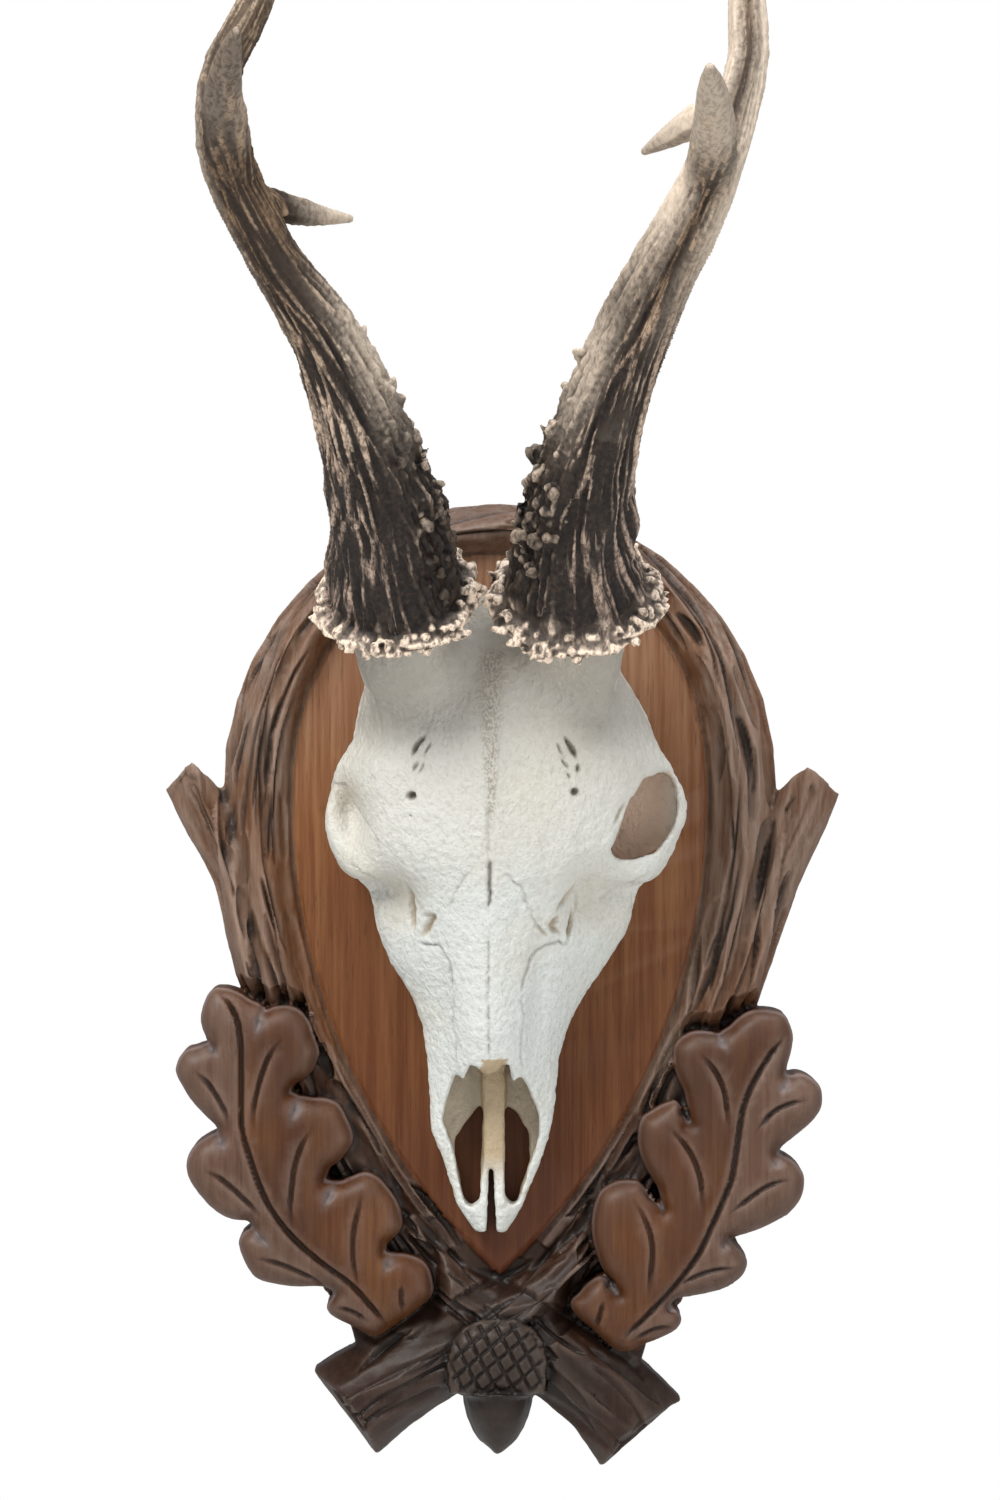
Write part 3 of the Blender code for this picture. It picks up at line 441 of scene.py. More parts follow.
def leaf_height(leaf, x, z, from_rim):
    """A pillow with a shallow valley along the midrib; near its log the leaf dips."""
    midrib, _, _ = line_distance(x, z, smooth_line(from_photo(leaf["midrib"], LEAF_DEPTH)))
    height = LEAF_EDGE + LEAF_SWELL * (1.0 - np.exp(-from_rim / LEAF_ROUNDING))
    height -= VALLEY_DEPTH * np.exp(-(midrib / VALLEY_WIDTH) ** 2)
    away, _, _ = line_distance(x, z, leaf["log"])
    height = np.minimum(height, DIP_HEIGHT + DIP_SLOPE * (away - CLEAR_OF_LOG))
    return np.where(away < CLEAR_OF_LOG, UNDER_LOG, height)


def relief_body(name, outline, height_of):
    """A closed body over an outline; its front height is a function of place and distance from the rim."""
    corners = np.array(outline)
    low, high = corners.min(0) - GRID_STEP, corners.max(0) + GRID_STEP
    grid_x, grid_z = np.meshgrid(
        np.arange(low[0], high[0], GRID_STEP), np.arange(low[1], high[1], GRID_STEP), indexing="ij")
    x, z = grid_x.ravel(), grid_z.ravel()
    ring = np.array(outline + outline[:1])
    distance, along, _ = line_distance(x, z, [tuple(point) for point in ring])
    rim = distance < 0.5 * GRID_STEP
    used = inside(x, z, outline) | rim
    lengths = np.concatenate([[0.0], np.cumsum(np.hypot(*np.diff(ring, axis=0).T))])
    x[rim] = np.interp(along[rim], lengths, ring[:, 0])
    z[rim] = np.interp(along[rim], lengths, ring[:, 1])
    distance[rim] = 0.0
    height = height_of(x, z, distance)
    ids = np.arange(len(x)).reshape(grid_x.shape)
    quads = np.stack([ids[:-1, :-1], ids[1:, :-1], ids[1:, 1:], ids[:-1, 1:]], -1).reshape(-1, 4)
    quads = quads[used[quads].all(1)]
    count = len(x)
    sides = np.vstack([quads[:, [k, (k + 1) % 4]] for k in range(4)])
    border = sides[~np.isin(sides[:, 0] * count + sides[:, 1], sides[:, 1] * count + sides[:, 0])]
    walls = np.column_stack([border[:, 1], border[:, 0], border[:, 0] + count, border[:, 1] + count])
    points = np.vstack([np.column_stack([x, -height, z]), np.column_stack([x, 0.0 * x, z])]) * MM
    mesh = bpy.data.meshes.new(name)
    mesh.from_pydata(points.tolist(), [], np.vstack([quads, quads[:, ::-1] + count, walls]).tolist())
    body = bpy.data.objects.new(name, mesh)
    bpy.context.scene.collection.objects.link(body)
    select_only(body)
    bpy.ops.object.mode_set(mode="EDIT")
    bpy.ops.mesh.select_all(action="SELECT")
    bpy.ops.mesh.delete_loose()
    bpy.ops.object.mode_set(mode="OBJECT")
    print(name, "has", len(quads), "squares on its front")
    return body


def sink_leaf(skin, leaf):
    """Sinks the faceted leaf under the new one and draws its walls in."""
    x, z, depth = skin.places()
    outline = leaf_outline(leaf)
    distance, _, _ = line_distance(x, z, outline + outline[:1])
    within = inside(x, z, outline)
    away, _, _ = line_distance(x, z, leaf["log"])
    reached = (within | (distance < SINK_REACH)) & (z < 3.0) & ~inside(x, z, egg_line(3.6))
    zone = reached & (away > CLEAR_OF_LOG + 0.5)
    log_top = leaf["log_crown"] - LOG_ROUNDNESS * away ** 2
    level = np.where(zone, SUNK_HEIGHT, log_top)
    skin.points[:, 1] = np.where(reached & (depth > level), -level, skin.points[:, 1])
    middle = np.array(outline).mean(0)
    pull = np.where(zone & (distance < SINK_REACH), np.where(within, 0.09, 0.17), 0.0)
    skin.points[:, 0] += (middle[0] - x) * pull
    skin.points[:, 2] += (middle[1] - z) * pull
    skin.refresh()


# %% Board skin with its leaves
FIRST_SQUARE = 0.6
BOARD_SQUARE = 0.45
board = node_copy("plaque", "carved_board")
even_skin(board, FIRST_SQUARE)
skin = Skin(board)
sink_leaf(skin, LEFT_LEAF)
sink_leaf(skin, RIGHT_LEAF)
reliefs = [relief_body(name, leaf_outline(leaf), lambda x, z, rim, leaf=leaf: leaf_height(leaf, x, z, rim))
           for name, leaf in (("left_leaf", LEFT_LEAF), ("right_leaf", RIGHT_LEAF))]
low_egg = [point for point in egg_line(GROUND_MARGIN) if point[1] < GROUND_TOP]
reliefs.append(relief_body("ground", low_egg, lambda x, z, rim: GROUND_HEIGHT - 1.2 * np.exp(-rim / 1.5)))
even_skin(board, BOARD_SQUARE, reliefs)
skin = Skin(board)

# %% Zones of the board
PANEL_FLOOR = 15.0
LEAF_FLOOR = 14.0
BACK_SKIN = 0.3
WALL_REACH = 1.5
x, z, depth_out = skin.places()
on_panel = inside(x, z, egg_line(-0.6)) & (depth_out > PANEL_FLOOR)
on_back = depth_out < BACK_SKIN
in_leaf = np.zeros(len(x), bool)
by_leaf = np.zeros(len(x), bool)
for leaf in (LEFT_LEAF, RIGHT_LEAF):
    outline = leaf_outline(leaf)
    rim, _, _ = line_distance(x, z, outline + outline[:1])
    from_log, _, _ = line_distance(x, z, leaf["log"])
    within = inside(x, z, outline)
    in_leaf |= within & (from_log > CLEAR_OF_LOG) & (depth_out > LEAF_FLOOR)
    by_leaf |= (within | (rim < WALL_REACH)) & (from_log > CLEAR_OF_LOG + 2.0) & (depth_out > 0.5)
by_leaf &= in_leaf | (depth_out < LEAF_FLOOR) | (skin.normals[:, 1] > -0.4)
print("panel points", int(on_panel.sum()), "leaf points", int(in_leaf.sum()))

# %% The acorn, and creases melted
ACORN_MIDDLE = -0.6
NUT_HALF_WIDTH = 10.6
CUP_EDGE = 26.5
CUP_SWELL = 4.0
CUP_ROUNDING = 3.0
ACORN_CUP = from_photo(
    [(449, 1395), (446, 1365), (451, 1342), (463, 1328), (480, 1320), (498, 1318), (516, 1320), (532, 1327),
     (543, 1342), (548, 1364), (546, 1395)], 28.0)
acorn_cup = inside(x, z, ACORN_CUP) & (depth_out > 13.0)
cup_bottom = min(point[1] for point in ACORN_CUP)
acorn_nut = (np.abs(x - ACORN_MIDDLE) < NUT_HALF_WIDTH) & (z < cup_bottom) & (depth_out > 3.0)
skin.relax(6, np.where(on_panel | on_back, 0.0, 1.0)[:, None])
skin.melt(5, np.where(in_leaf, 0.6, 0.0))
skin.melt(6, np.where(on_panel | on_back | in_leaf | (depth_out < 12.0), 0.0, 0.6))
cup_rim, _, _ = line_distance(x, z, ACORN_CUP + ACORN_CUP[:1])
dome = CUP_EDGE + CUP_SWELL * (1.0 - np.exp(-cup_rim / CUP_ROUNDING))
skin.points[:, 1] = np.where(acorn_cup, -dome, skin.points[:, 1])
skin.refresh()
skin.melt(2, np.where(acorn_cup, 1.0, 0.0))
x, z, depth_out = skin.places()
front = (skin.normals[:, 1] < -0.25) & (depth_out > 11.5)
print("front points", int(front.sum()))

# %% [markdown]
# ### Bark
# The copy gets its bark from gouge strokes that follow each branch, because the eye reads bark from the
# direction of the cuts. Each stroke has one upright wall that is painted dark, partly as stain and partly as
# painted shade, and one long slope that catches the light.

# %% Bark strokes
# Each kind of stroke has ranges for its length, width and depth, and how dark it is painted, partly as stain
# and partly as painted shade.
STROKES = (
    ((14.0, 42.0), (1.6, 2.6), (1.4, 2.2), 1.3), ((16.0, 40.0), (4.5, 8.0), (0.9, 1.6), 0.1),
    ((10.0, 24.0), (2.6, 4.2), (1.5, 2.4), 0.8), ((14.0, 34.0), (4.0, 7.0), (0.7, 1.5), 0.1),
)


def bark(skin, where, along, across, low, high, span, count, seed):
    """Gouge strokes over one branch; a second field tells how dark each one is painted, as stain and painted
    shade.
    """
    rng = np.random.default_rng(seed)
    cut, dark = np.zeros(len(skin.points)), np.zeros(len(skin.points))
    picked = np.flatnonzero(where)
    for index in range(count):
        lengths, widths, depths, stain_and_shade_share = STROKES[index % len(STROKES)]
        start, length = rng.uniform(0.0, span), rng.uniform(*lengths)
        near = picked[np.abs(along[picked] - start) < 0.5 * length]
        stroke = stroke_depth(
            along[near], across[near], start, rng.uniform(low, high), length, rng.uniform(*widths),
            rng.uniform(*depths), rng.uniform(-0.16, 0.16), rng.choice((-1.0, 1.0)),
        )
        cut[near] = np.maximum(cut[near], stroke)
        dark[near] = np.maximum(dark[near], stain_and_shade_share * stroke / depths[1])
    return cut, dark


# %% Bark on the wreath, the logs and the stubs
WREATH_WIDTH = 18.5
WREATH_STROKES = 260
BRANCHES = ((LOG_BACK, 11.5, 26), (LOG_FRONT, 11.5, 26), (STUB_LEFT, 6.5, 14), (STUB_RIGHT, 7.5, 14))
between = ~inside(x, z, egg_line(0.9)) & inside(x, z, egg_line(WREATH_WIDTH))
wreath_zone = front & between & (z > -58.0) & ~in_leaf
picked = np.flatnonzero(wreath_zone)
across = np.zeros(len(x))
along = np.zeros(len(x))
across[picked], along[picked], egg_length = line_distance(x[picked], z[picked], egg)
carved, stain_and_shade = bark(
    skin, wreath_zone, along, across, 2.0, WREATH_WIDTH - 1.5, egg_length, WREATH_STROKES, 11)
for number, (line, reach, strokes) in enumerate(BRANCHES):
    smooth = smooth_line(line)
    distance, run, length = line_distance(x, z, smooth)
    zone = front & (distance < reach) & ~on_panel & ~wreath_zone & ~in_leaf & ~acorn_cup
    heading = np.array(smooth[-1]) - np.array(smooth[0])
    side = np.sign((x - smooth[0][0]) * heading[1] - (z - smooth[0][1]) * heading[0])
    cut, dark = bark(
        skin, zone, run, distance * side, 1.5 - reach, reach - 1.5, length, strokes, 30 + number)
    carved, stain_and_shade = np.maximum(carved, cut), np.maximum(stain_and_shade, dark)
print("bark cut up to", round(float(carved.max()), 2), "mm deep")

# %% [markdown]
# ### Veins, notches and the acorn
# Each oak leaf has one deep midrib and a vein to every lobe, all cut with a V-tool. Where two lobes meet,
# the carver sinks a short slanting notch, which catches the light in the photograph; the notches and the
# leaf's rim get a painted highlight. The acorn's cup is hatched crosswise so that its scales stand as small
# diamonds.

# %% Veins and notches
VEIN_WIDTH = 1.6
VEIN_DEPTH = 1.2
pale = np.zeros(len(x))
outer = np.zeros(len(x))
for leaf in (LEFT_LEAF, RIGHT_LEAF):
    midrib = smooth_line(from_photo(leaf["midrib"], LEAF_DEPTH))
    groove = smooth_line(from_photo([(px + 4, py) for px, py in leaf["midrib"]], LEAF_DEPTH))
    carved = np.maximum(carved, line_depth(skin, groove, 1.8, 1.4, in_leaf, 0.05))
    carved -= 0.4 * line_depth(skin, midrib, 2.2, 1.0, in_leaf & (carved < 0.2), 0.05)
    for vein in leaf["veins"]:
        line = smooth_line(from_photo(vein, LEAF_DEPTH))
        carved = np.maximum(carved, line_depth(skin, line, VEIN_WIDTH, VEIN_DEPTH, in_leaf))
    veins = np.clip(carved * in_leaf / 1.1, 0.0, 1.0)
    # The veins are painted dark, partly as stain and partly as painted shade.
    stain_and_shade = np.maximum(stain_and_shade, veins)
    for notch in leaf["notches"]:
        flake = line_depth(skin, from_photo(notch, LEAF_DEPTH), 5.0, 1.8, in_leaf, 0.9)
        carved = np.maximum(carved, flake)
        # Painted highlight where a notch catches the light.
        pale = np.maximum(pale, np.clip(flake / 0.9, 0.0, 1.0))
    outline = leaf_outline(leaf)
    picked = np.flatnonzero((in_leaf | by_leaf) & (np.sign(x) == np.sign(outline[0][0])))
    rim, _, _ = line_distance(x[picked], z[picked], outline + outline[:1])
    # Painted highlight along the leaf's rim.
    pale[picked] = np.maximum(pale[picked], np.clip(1.6 - rim / 0.5, 0.0, 1.0))
    far_ends = [(end[0] * 4.0, end[1]) for end in (midrib[-1], midrib[0])]
    outer[picked] = inside(x[picked], z[picked], midrib + far_ends)
print("leaf points in veins", int((stain_and_shade * in_leaf > 0.5).sum()))

# %% Hatching of the cup and the panel's rim groove
HATCH_SPACING = 3.7
HATCH_HALF_WIDTH = 0.6
HATCH_MIDDLE = -93.0
hatch = np.zeros(len(x))
for angle in (math.radians(62.0), math.radians(140.0)):
    line_place = (x - ACORN_MIDDLE) * math.sin(angle) + (z - HATCH_MIDDLE) * math.cos(angle)
    line_place /= HATCH_SPACING
    gap = np.abs(line_place - np.round(line_place)) * HATCH_SPACING
    hatch = np.maximum(hatch, np.clip(1.0 - gap / HATCH_HALF_WIDTH, 0.0, 1.0))
hatch *= acorn_cup & front & (cup_rim > 0.8)
carved = np.maximum(carved, hatch)
# The hatching's grooves are painted dark, partly as stain and partly as painted shade.
stain_and_shade = np.maximum(stain_and_shade, hatch)
for side in (1.0, -1.0):
    rim = [point for point in egg_line(3.4) if point[1] < 4.0 and point[0] * side > 0.0]
    carved = np.maximum(carved, line_depth(skin, rim, 1.6, 1.2, front & ~on_panel & ~in_leaf, 0.1))
rough = np.where(on_panel | on_back, 0.0, np.where(in_leaf, 0.35, 1.0))
tool_marks = 0.2 * value_noise(skin.points / (3.4, 3.4, 6.0), 5) + 0.06 * value_noise(skin.points / 1.3, 6)
skin.push(tool_marks * rough - np.where(on_panel | on_back, 0.0, carved))
print("deepest cut", round(float(carved.max()), 2), "mm")

# %% [markdown]
# ### Where stain and painted shade gather
# Stain pools in cuts and is rubbed off edges; the hollows also carry painted shade and the edges a painted
# highlight. Both can be read from the surface itself: a point that lies below the mean of a wide ring of
# neighbours is in a hollow, one above it on an edge. The two fields are kept as attributes, so that the
# wood's material can read them.

# %% Hollows and edges
MOST_TRIANGLES = 195000


def wear_fields(skin, rounds, gain):
    """Two fields from 0 to 1: how deep a point lies in a hollow, and how much it stands out on an edge."""
    wide = skin.points.copy()
    for _ in range(rounds):
        wide = skin.mean(wide)
    rise = np.einsum("ij,ij->i", wide - skin.points, skin.normals)
    rise = skin.mean(rise[:, None])[:, 0]
    return np.clip(rise * gain, 0.0, 1.0), np.clip(-rise * gain, 0.0, 1.0)


def thin_out(piece, limit, free=None):
    """Collapses flat places down to a limit of triangles, only where free if that is given."""
    triangles = sum(len(face.vertices) - 2 for face in piece.data.polygons)
    if triangles > limit:
        select_only(piece)
        thin = piece.modifiers.new("thin", "DECIMATE")
        thin.ratio = limit / triangles
        if free is not None:
            group = piece.vertex_groups.new(name="free")
            group.add(np.flatnonzero(free).tolist(), 1.0, "REPLACE")
            thin.vertex_group = group.name
        bpy.ops.object.modifier_apply(modifier=thin.name)
    piece.data.shade_smooth()
    print(piece.name, "went from", triangles, "to", len(piece.data.polygons), "faces")


# %% The wood's fields
hollow, edge = wear_fields(skin, 8, 2.4)
wide_hollow, wide_edge = wear_fields(skin, 50, 0.7)
# Painted shade: the carving darkens where it sinks towards the ground, in the recesses between the parts.
recess = np.clip((15.5 - depth_out) / 4.0, 0.0, 1.0) * front * ~on_panel
facing_up = np.clip(0.6 + skin.normals[:, 2], 0.0, 1.0)
cup_shadow = (~acorn_cup) * np.clip(1.4 - cup_rim / 1.4, 0.0, 1.0) * (depth_out > 13.0)
off_panel = ~on_panel
# The hollow field holds stain in the cuts together with painted shade in wide hollows, in recesses and round
# the acorn's cup.
dark_places = [hollow, 0.8 * wide_hollow, stain_and_shade, 0.35 * recess, cup_shadow]
skin.store("hollow", np.maximum.reduce(dark_places) * off_panel)
# The edge field is partly rubbed-off stain and partly a painted highlight; it is weaker towards the bottom.
low_part = np.interp(z, (-85.0, -55.0), (0.3, 1.0))
skin.store("edge", np.maximum(edge, 0.6 * wide_edge) * (depth_out > 3.0) * off_panel * low_part)
# Painted highlight on the leaves' rims and notches, strongest where they face up.
skin.store("painted_rim_highlight", pale * facing_up * in_leaf * np.clip(-2.5 * skin.normals[:, 1] - 0.4, 0.0, 1.0))
skin.store("panel", on_panel.astype(float))
skin.store("leaf", (in_leaf | by_leaf).astype(float))
skin.store("outer", outer)
skin.store("acorn", (acorn_cup | acorn_nut).astype(float))
panel_ring = inside(x, z, egg_line(1.5)) & ~inside(x, z, egg_line(-1.2))
thin_out(board, MOST_TRIANGLES, ~panel_ring)
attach(board, "root")
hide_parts("plaque")

# %% [markdown]
# ## The skull
# The bone is bleached white. Its detail is all shallow: the seam between the two frontal bones, the
# zigzag seams by the nose bones, slits and small holes for nerves and vessels, and a fine grain of pores.
# A few beads melted into the right orbit's thin rim keep it whole. Broad forms come first, as soft
# swellings and dents, then the seams, cut as thin lines.

# %% Skull skin
BROW_DEPTH = 64.0
NOSE_DEPTH = 50.0
CHEEK_DEPTH = 52.0
ORBIT_DEPTH = 44.0
MUZZLE_DEPTH = 44.0
SKULL_SQUARE = 0.5
FILLER_RADIUS = 1.2
skull = node_copy("skull", "roe_skull")
rim_places = [(x, level, z) for level in (34.0, 37.0, 40.0, 43.0)
              for x, z in from_photo([(669, 771), (674, 780), (678, 791), (681, 803)], level)]
rim_beads = []
for across, out, up in rim_places:
    place = (across * MM, -out * MM, up * MM)
    bpy.ops.mesh.primitive_ico_sphere_add(subdivisions=2, radius=FILLER_RADIUS * MM, location=place)
    bpy.ops.object.transform_apply(location=True, rotation=False, scale=False)
    rim_beads.append(bpy.context.object)
even_skin(skull, SKULL_SQUARE, rim_beads)
skin = Skin(skull)
skin.relax(6)
x, z, depth_out = skin.places()
side_bulge = 3.6 * np.exp(-((z - 68.0) / 7.5) ** 2) * np.clip((np.abs(x + 1.0) - 14.0) / 10.0, 0.0, 1.0)
skin.points[:, 0] += np.sign(x) * side_bulge * (depth_out > 20.0)

# %% Right orbit and the melting of facets
ORBIT_RIGHT = from_photo(
    [(613, 840), (609, 850), (615, 859), (634, 860), (654, 855), (671, 833), (679, 808), (677, 786),
     (672, 771), (656, 772), (638, 776), (628, 798)], ORBIT_DEPTH)
rim_away, _, _ = line_distance(x, z, ORBIT_RIGHT + ORBIT_RIGHT[:1])
orbit_left, orbit_right = min(ORBIT_RIGHT)[0], max(ORBIT_RIGHT)[0]
orbit_reach = np.where(x > 0.5 * (orbit_left + orbit_right), 2.2, 0.8)
orbit = (inside(x, z, ORBIT_RIGHT) | (rim_away < orbit_reach)) & (depth_out < 46.0)
orbit_share = np.clip((x - orbit_left) / (orbit_right - orbit_left), 0.0, 1.0)
cheek = 33.0 + 5.0 * orbit_share ** 1.6
skin.points[:, 1] = np.where(orbit & (depth_out > 10.0) & (depth_out < cheek), -cheek, skin.points[:, 1])
off_orbit = np.clip((rim_away - 0.6) / 2.0, 0.0, 1.0)
skin.melt(24, np.where((orbit | (rim_away < 2.6)) & (depth_out > 10.0), 0.25 + 0.75 * orbit_share, 0.0))
(lobe_x, lobe_z), = from_photo([(349, 812)], ORBIT_DEPTH)
lobe = np.clip(1.6 - np.hypot((x - lobe_x) / 7.5, (z - lobe_z) / 10.0), 0.0, 1.0) * (depth_out > 16.0)
skin.melt(220, lobe)
skin.melt(300, np.clip((z - 60.0) / 8.0, 0.0, 1.0) * (depth_out > 20.0))
skin.melt(60, np.clip((z + 15.0) / 12.0, 0.0, 1.0) * off_orbit * (depth_out > 20.0))
skin.melt(8, np.clip((-8.0 - z) / 6.0, 0.0, 1.0) * (depth_out > 20.0))
x, z, depth_out = skin.places()
front = skin.normals[:, 1] < -0.15
print("skull points", len(x), "in the right orbit", int(orbit.sum()))


# %% Swellings and dents
def swell(pixel, size, height, depth, turn=0.0):
    """A soft swelling, or a dent when the height is negative; size is across and down in millimetres."""
    (cx, cz), = from_photo([pixel], depth)
    c, s = math.cos(math.radians(turn)), math.sin(math.radians(turn))
    u = ((x - cx) * c + (z - cz) * s) / size[0]
    v = (-(x - cx) * s + (z - cz) * c) / size[1]
    return height * np.exp(-u * u - v * v) * front


# A swelling is a pixel, its size across and down, its height, how far out it lies and its turn in degrees.
SWELLINGS = (
    ((489, 700), (4.0, 26.0), 1.4, BROW_DEPTH, 0),
    ((438, 700), (7.0, 12.0), -1.8, BROW_DEPTH, -8), ((545, 700), (7.0, 12.0), -1.8, BROW_DEPTH, 8),
    ((375, 770), (6.0, 7.0), 1.8, 58.0, 0), ((622, 765), (6.5, 7.0), 2.0, 58.0, 0),
    ((398, 905), (5.0, 8.0), -3.0, CHEEK_DEPTH, 28), ((588, 905), (5.0, 8.0), -3.0, CHEEK_DEPTH, -28),
    ((489, 1000), (5.0, 20.0), 1.6, NOSE_DEPTH, 0),
    ((443, 1010), (3.0, 16.0), -1.3, MUZZLE_DEPTH, 4), ((538, 1010), (3.0, 16.0), -1.3, MUZZLE_DEPTH, -4),
    ((360, 868), (5.0, 2.6), 2.0, ORBIT_DEPTH, -30), ((640, 872), (6.0, 2.6), 2.2, ORBIT_DEPTH, 24),
    ((372, 890), (4.0, 2.4), -2.0, ORBIT_DEPTH, -30), ((622, 893), (5.0, 2.4), -2.2, ORBIT_DEPTH, 24),
    ((340, 825), (4.0, 9.0), 1.2, 40.0, 0), ((686, 800), (2.0, 9.0), 1.0, 40.0, 0),
)
BROW_EDGE = [(333, 783), (348, 782), (354, 798), (364, 816), (377, 836), (382, 856)]
forms = np.zeros(len(x))
for swelling in SWELLINGS:
    forms += swell(*swelling)
edge_away, _, _ = line_distance(x, z, smooth_line(from_photo(BROW_EDGE, 46.0)))
in_socket = inside(x, z, from_photo(BROW_EDGE + [(350, 880), (300, 840)], 46.0))
forms -= 0.7 * np.exp(-(edge_away / 2.2)) * np.clip((z + 6.0) / 6.0, 0.0, 1.0) * in_socket * front
skin.push(forms)
print("forms from", round(float(forms.min()), 2), "to", round(float(forms.max()), 2), "mm")

# %% Seams, slits and holes
# A seam is a line in pixels, with its width, its cut's depth and how far out it lies, in millimetres.
# Holes and fissures have no last value.
SEAMS = (
    ([(489, 800), (488, 830), (489, 860)], 1.3, 0.5, BROW_DEPTH),
    ([(490, 858), (490, 890), (489, 909)], 1.5, 1.5, 60.0),
    ([(489, 925), (488, 980), (489, 1030), (489, 1070)], 0.9, 0.7, 52.0),
    ([(505, 868), (512, 880), (523, 890), (526, 902), (531, 911), (534, 922), (548, 939)], 0.9, 0.5, 56.0),
    ([(474, 868), (466, 876), (456, 891), (452, 900), (447, 911)], 0.9, 0.4, 56.0),
    ([(414, 942), (426, 945), (438, 947), (446, 958), (450, 970), (453, 994)], 1.0, 0.8, 50.0),
    ([(571, 945), (556, 943), (539, 949), (531, 960), (526, 975), (521, 994)], 1.0, 0.8, 50.0),
    ([(453, 994), (452, 1020), (455, 1045), (455, 1070)], 0.9, 0.5, MUZZLE_DEPTH),
    ([(521, 994), (524, 1020), (521, 1045), (523, 1072)], 0.9, 0.5, MUZZLE_DEPTH),
    ([(345, 862), (362, 872), (380, 884), (392, 902)], 0.9, 0.4, 48.0),
    ([(652, 872), (628, 884), (612, 890), (598, 902)], 0.9, 0.4, 48.0),
)
HOLES = (
    ([(427, 733), (417, 744), (411, 757)], 1.7, 1.8), ([(431, 741), (423, 756)], 0.9, 1.2),
    ([(418, 760), (412, 772)], 1.3, 1.3), ([(425, 760), (418, 774)], 0.8, 1.0),
    ([(563, 735), (572, 747), (577, 760)], 1.7, 1.8), ([(577, 763), (579, 774)], 1.4, 1.5),
    ([(556, 742), (564, 755)], 0.8, 1.2), ([(561, 757), (570, 770)], 0.9, 1.2),
    ([(566, 772), (572, 779)], 0.9, 1.2), ([(408, 816), (411, 817)], 0.9, 0.8),
)
ROUND_HOLES = (((411, 796), 1.25), ((575, 792), 1.1))
FISSURES = (
    ([(405, 883), (410, 897), (412, 914), (414, 938)], 1.9, 1.7),
    ([(421, 915), (432, 918), (426, 930), (419, 941)], 2.6, 1.5),
    ([(577, 883), (571, 893), (563, 903), (555, 913)], 1.7, 1.4),
    ([(573, 906), (572, 922), (568, 943)], 1.8, 2.0),
    ([(560, 913), (552, 927), (562, 937)], 2.2, 1.4), ([(536, 922), (543, 931), (549, 939)], 1.1, 1.0),
    ([(405, 883), (418, 905), (424, 914)], 0.9, 0.7), ([(576, 884), (577, 905), (574, 925)], 0.9, 0.7),
    ([(627, 800), (620, 812), (613, 826)], 1.4, 1.0),
)
wobble = 0.35 * value_noise(skin.points / 1.3, 21)
seam = np.zeros(len(x))
for pixels, width, depth, level in SEAMS:
    line = smooth_line(from_photo(pixels, level))
    seam = np.maximum(seam, line_depth(skin, line, width, depth, front, 0.12, wobble))
holes, fissures = np.zeros(len(x)), np.zeros(len(x))
for pixels, width, depth in HOLES:
    line = from_photo(pixels, BROW_DEPTH)
    holes = np.maximum(holes, line_depth(skin, line, width, depth, front, 0.3, 0.5 * wobble))
for pixel, radius in ROUND_HOLES:
    (hole_x, hole_z), = from_photo([pixel], BROW_DEPTH)
    away = np.hypot(x - hole_x, z - hole_z)
    holes = np.maximum(holes, 2.2 * np.sqrt(np.clip(1.0 - away / radius, 0.0, 1.0)) * front)
for pixels, width, depth in FISSURES:
    line = from_photo(pixels, CHEEK_DEPTH)
    fissures = np.maximum(fissures, line_depth(skin, line, width, depth, front, 0.3, 0.5 * wobble))
deepest = [round(float(cut.max()), 2) for cut in (seam, holes, fissures)]
print("seams, holes and fissures up to", deepest, "mm")

# %% Porous band and grain
(middle, low), (_, high) = from_photo([(491, 835), (491, 652)], BROW_DEPTH)
strip_width = 0.7 + 2.4 * np.clip((z - low) / (high - low), 0.0, 1.0)
strip = np.clip(1.5 - np.abs(x - middle) / strip_width, 0.0, 1.0)
strip *= np.clip((z - low) / 8.0, 0.0, 1.0) * np.clip((high + 1.5 - z) / 3.0, 0.0, 1.0) * front
pits = np.clip(value_noise(skin.points / (0.75, 0.75, 0.9), 23) - 0.1, 0.0, 1.0) * strip
grain = 0.12 * value_noise(skin.points / 1.0, 24) + 0.12 * value_noise(skin.points / (2.2, 2.2, 3.2), 25)
flank = np.clip((np.abs(x + 0.8) - 8.0) / 8.0, 0.0, 1.0) * np.clip((z - 46.0) / 12.0, 0.0, 1.0)
grain += 0.22 * value_noise(skin.points / (1.3, 1.3, 5.0), 26) * flank
grain += 0.14 * value_noise(skin.points / (1.5, 1.5, 1.8), 27)
skin.push((grain - pits * 0.45 - seam - holes - fissures) * (depth_out > 19.0))
print("grain from", round(float(grain.min()), 2), "to", round(float(grain.max()), 2), "mm")

# %% Where the bone is darker, partly as painted shade
hollow, _ = wear_fields(skin, 10, 1.2)
septum = (np.abs(x + 1.5) < 3.2) * (z < -17.0) * np.clip((z + 50.0) / 8.0, 0.0, 1.0)
nose = (z < -16.0) & (z > -52.0) & (np.abs(x + 2.0) < 12.5) & (depth_out < 26.0)
# Painted shade inside the right orbit, fading out towards its lit right wall.
socket_shade = orbit * inside(x, z, ORBIT_RIGHT)
socket_shade = socket_shade * (1.0 - 0.8 * np.clip((x - orbit_right + 4.5) / 4.0, 0.0, 1.0))
# Painted shade under the brow at the top of the left orbit.
(beige_x, beige_z), = from_photo([(345, 794)], 48.0)
left_brow_shade = 0.35 * np.exp(-((x - beige_x) / 3.0) ** 2 - ((z - beige_z) / 4.5) ** 2)
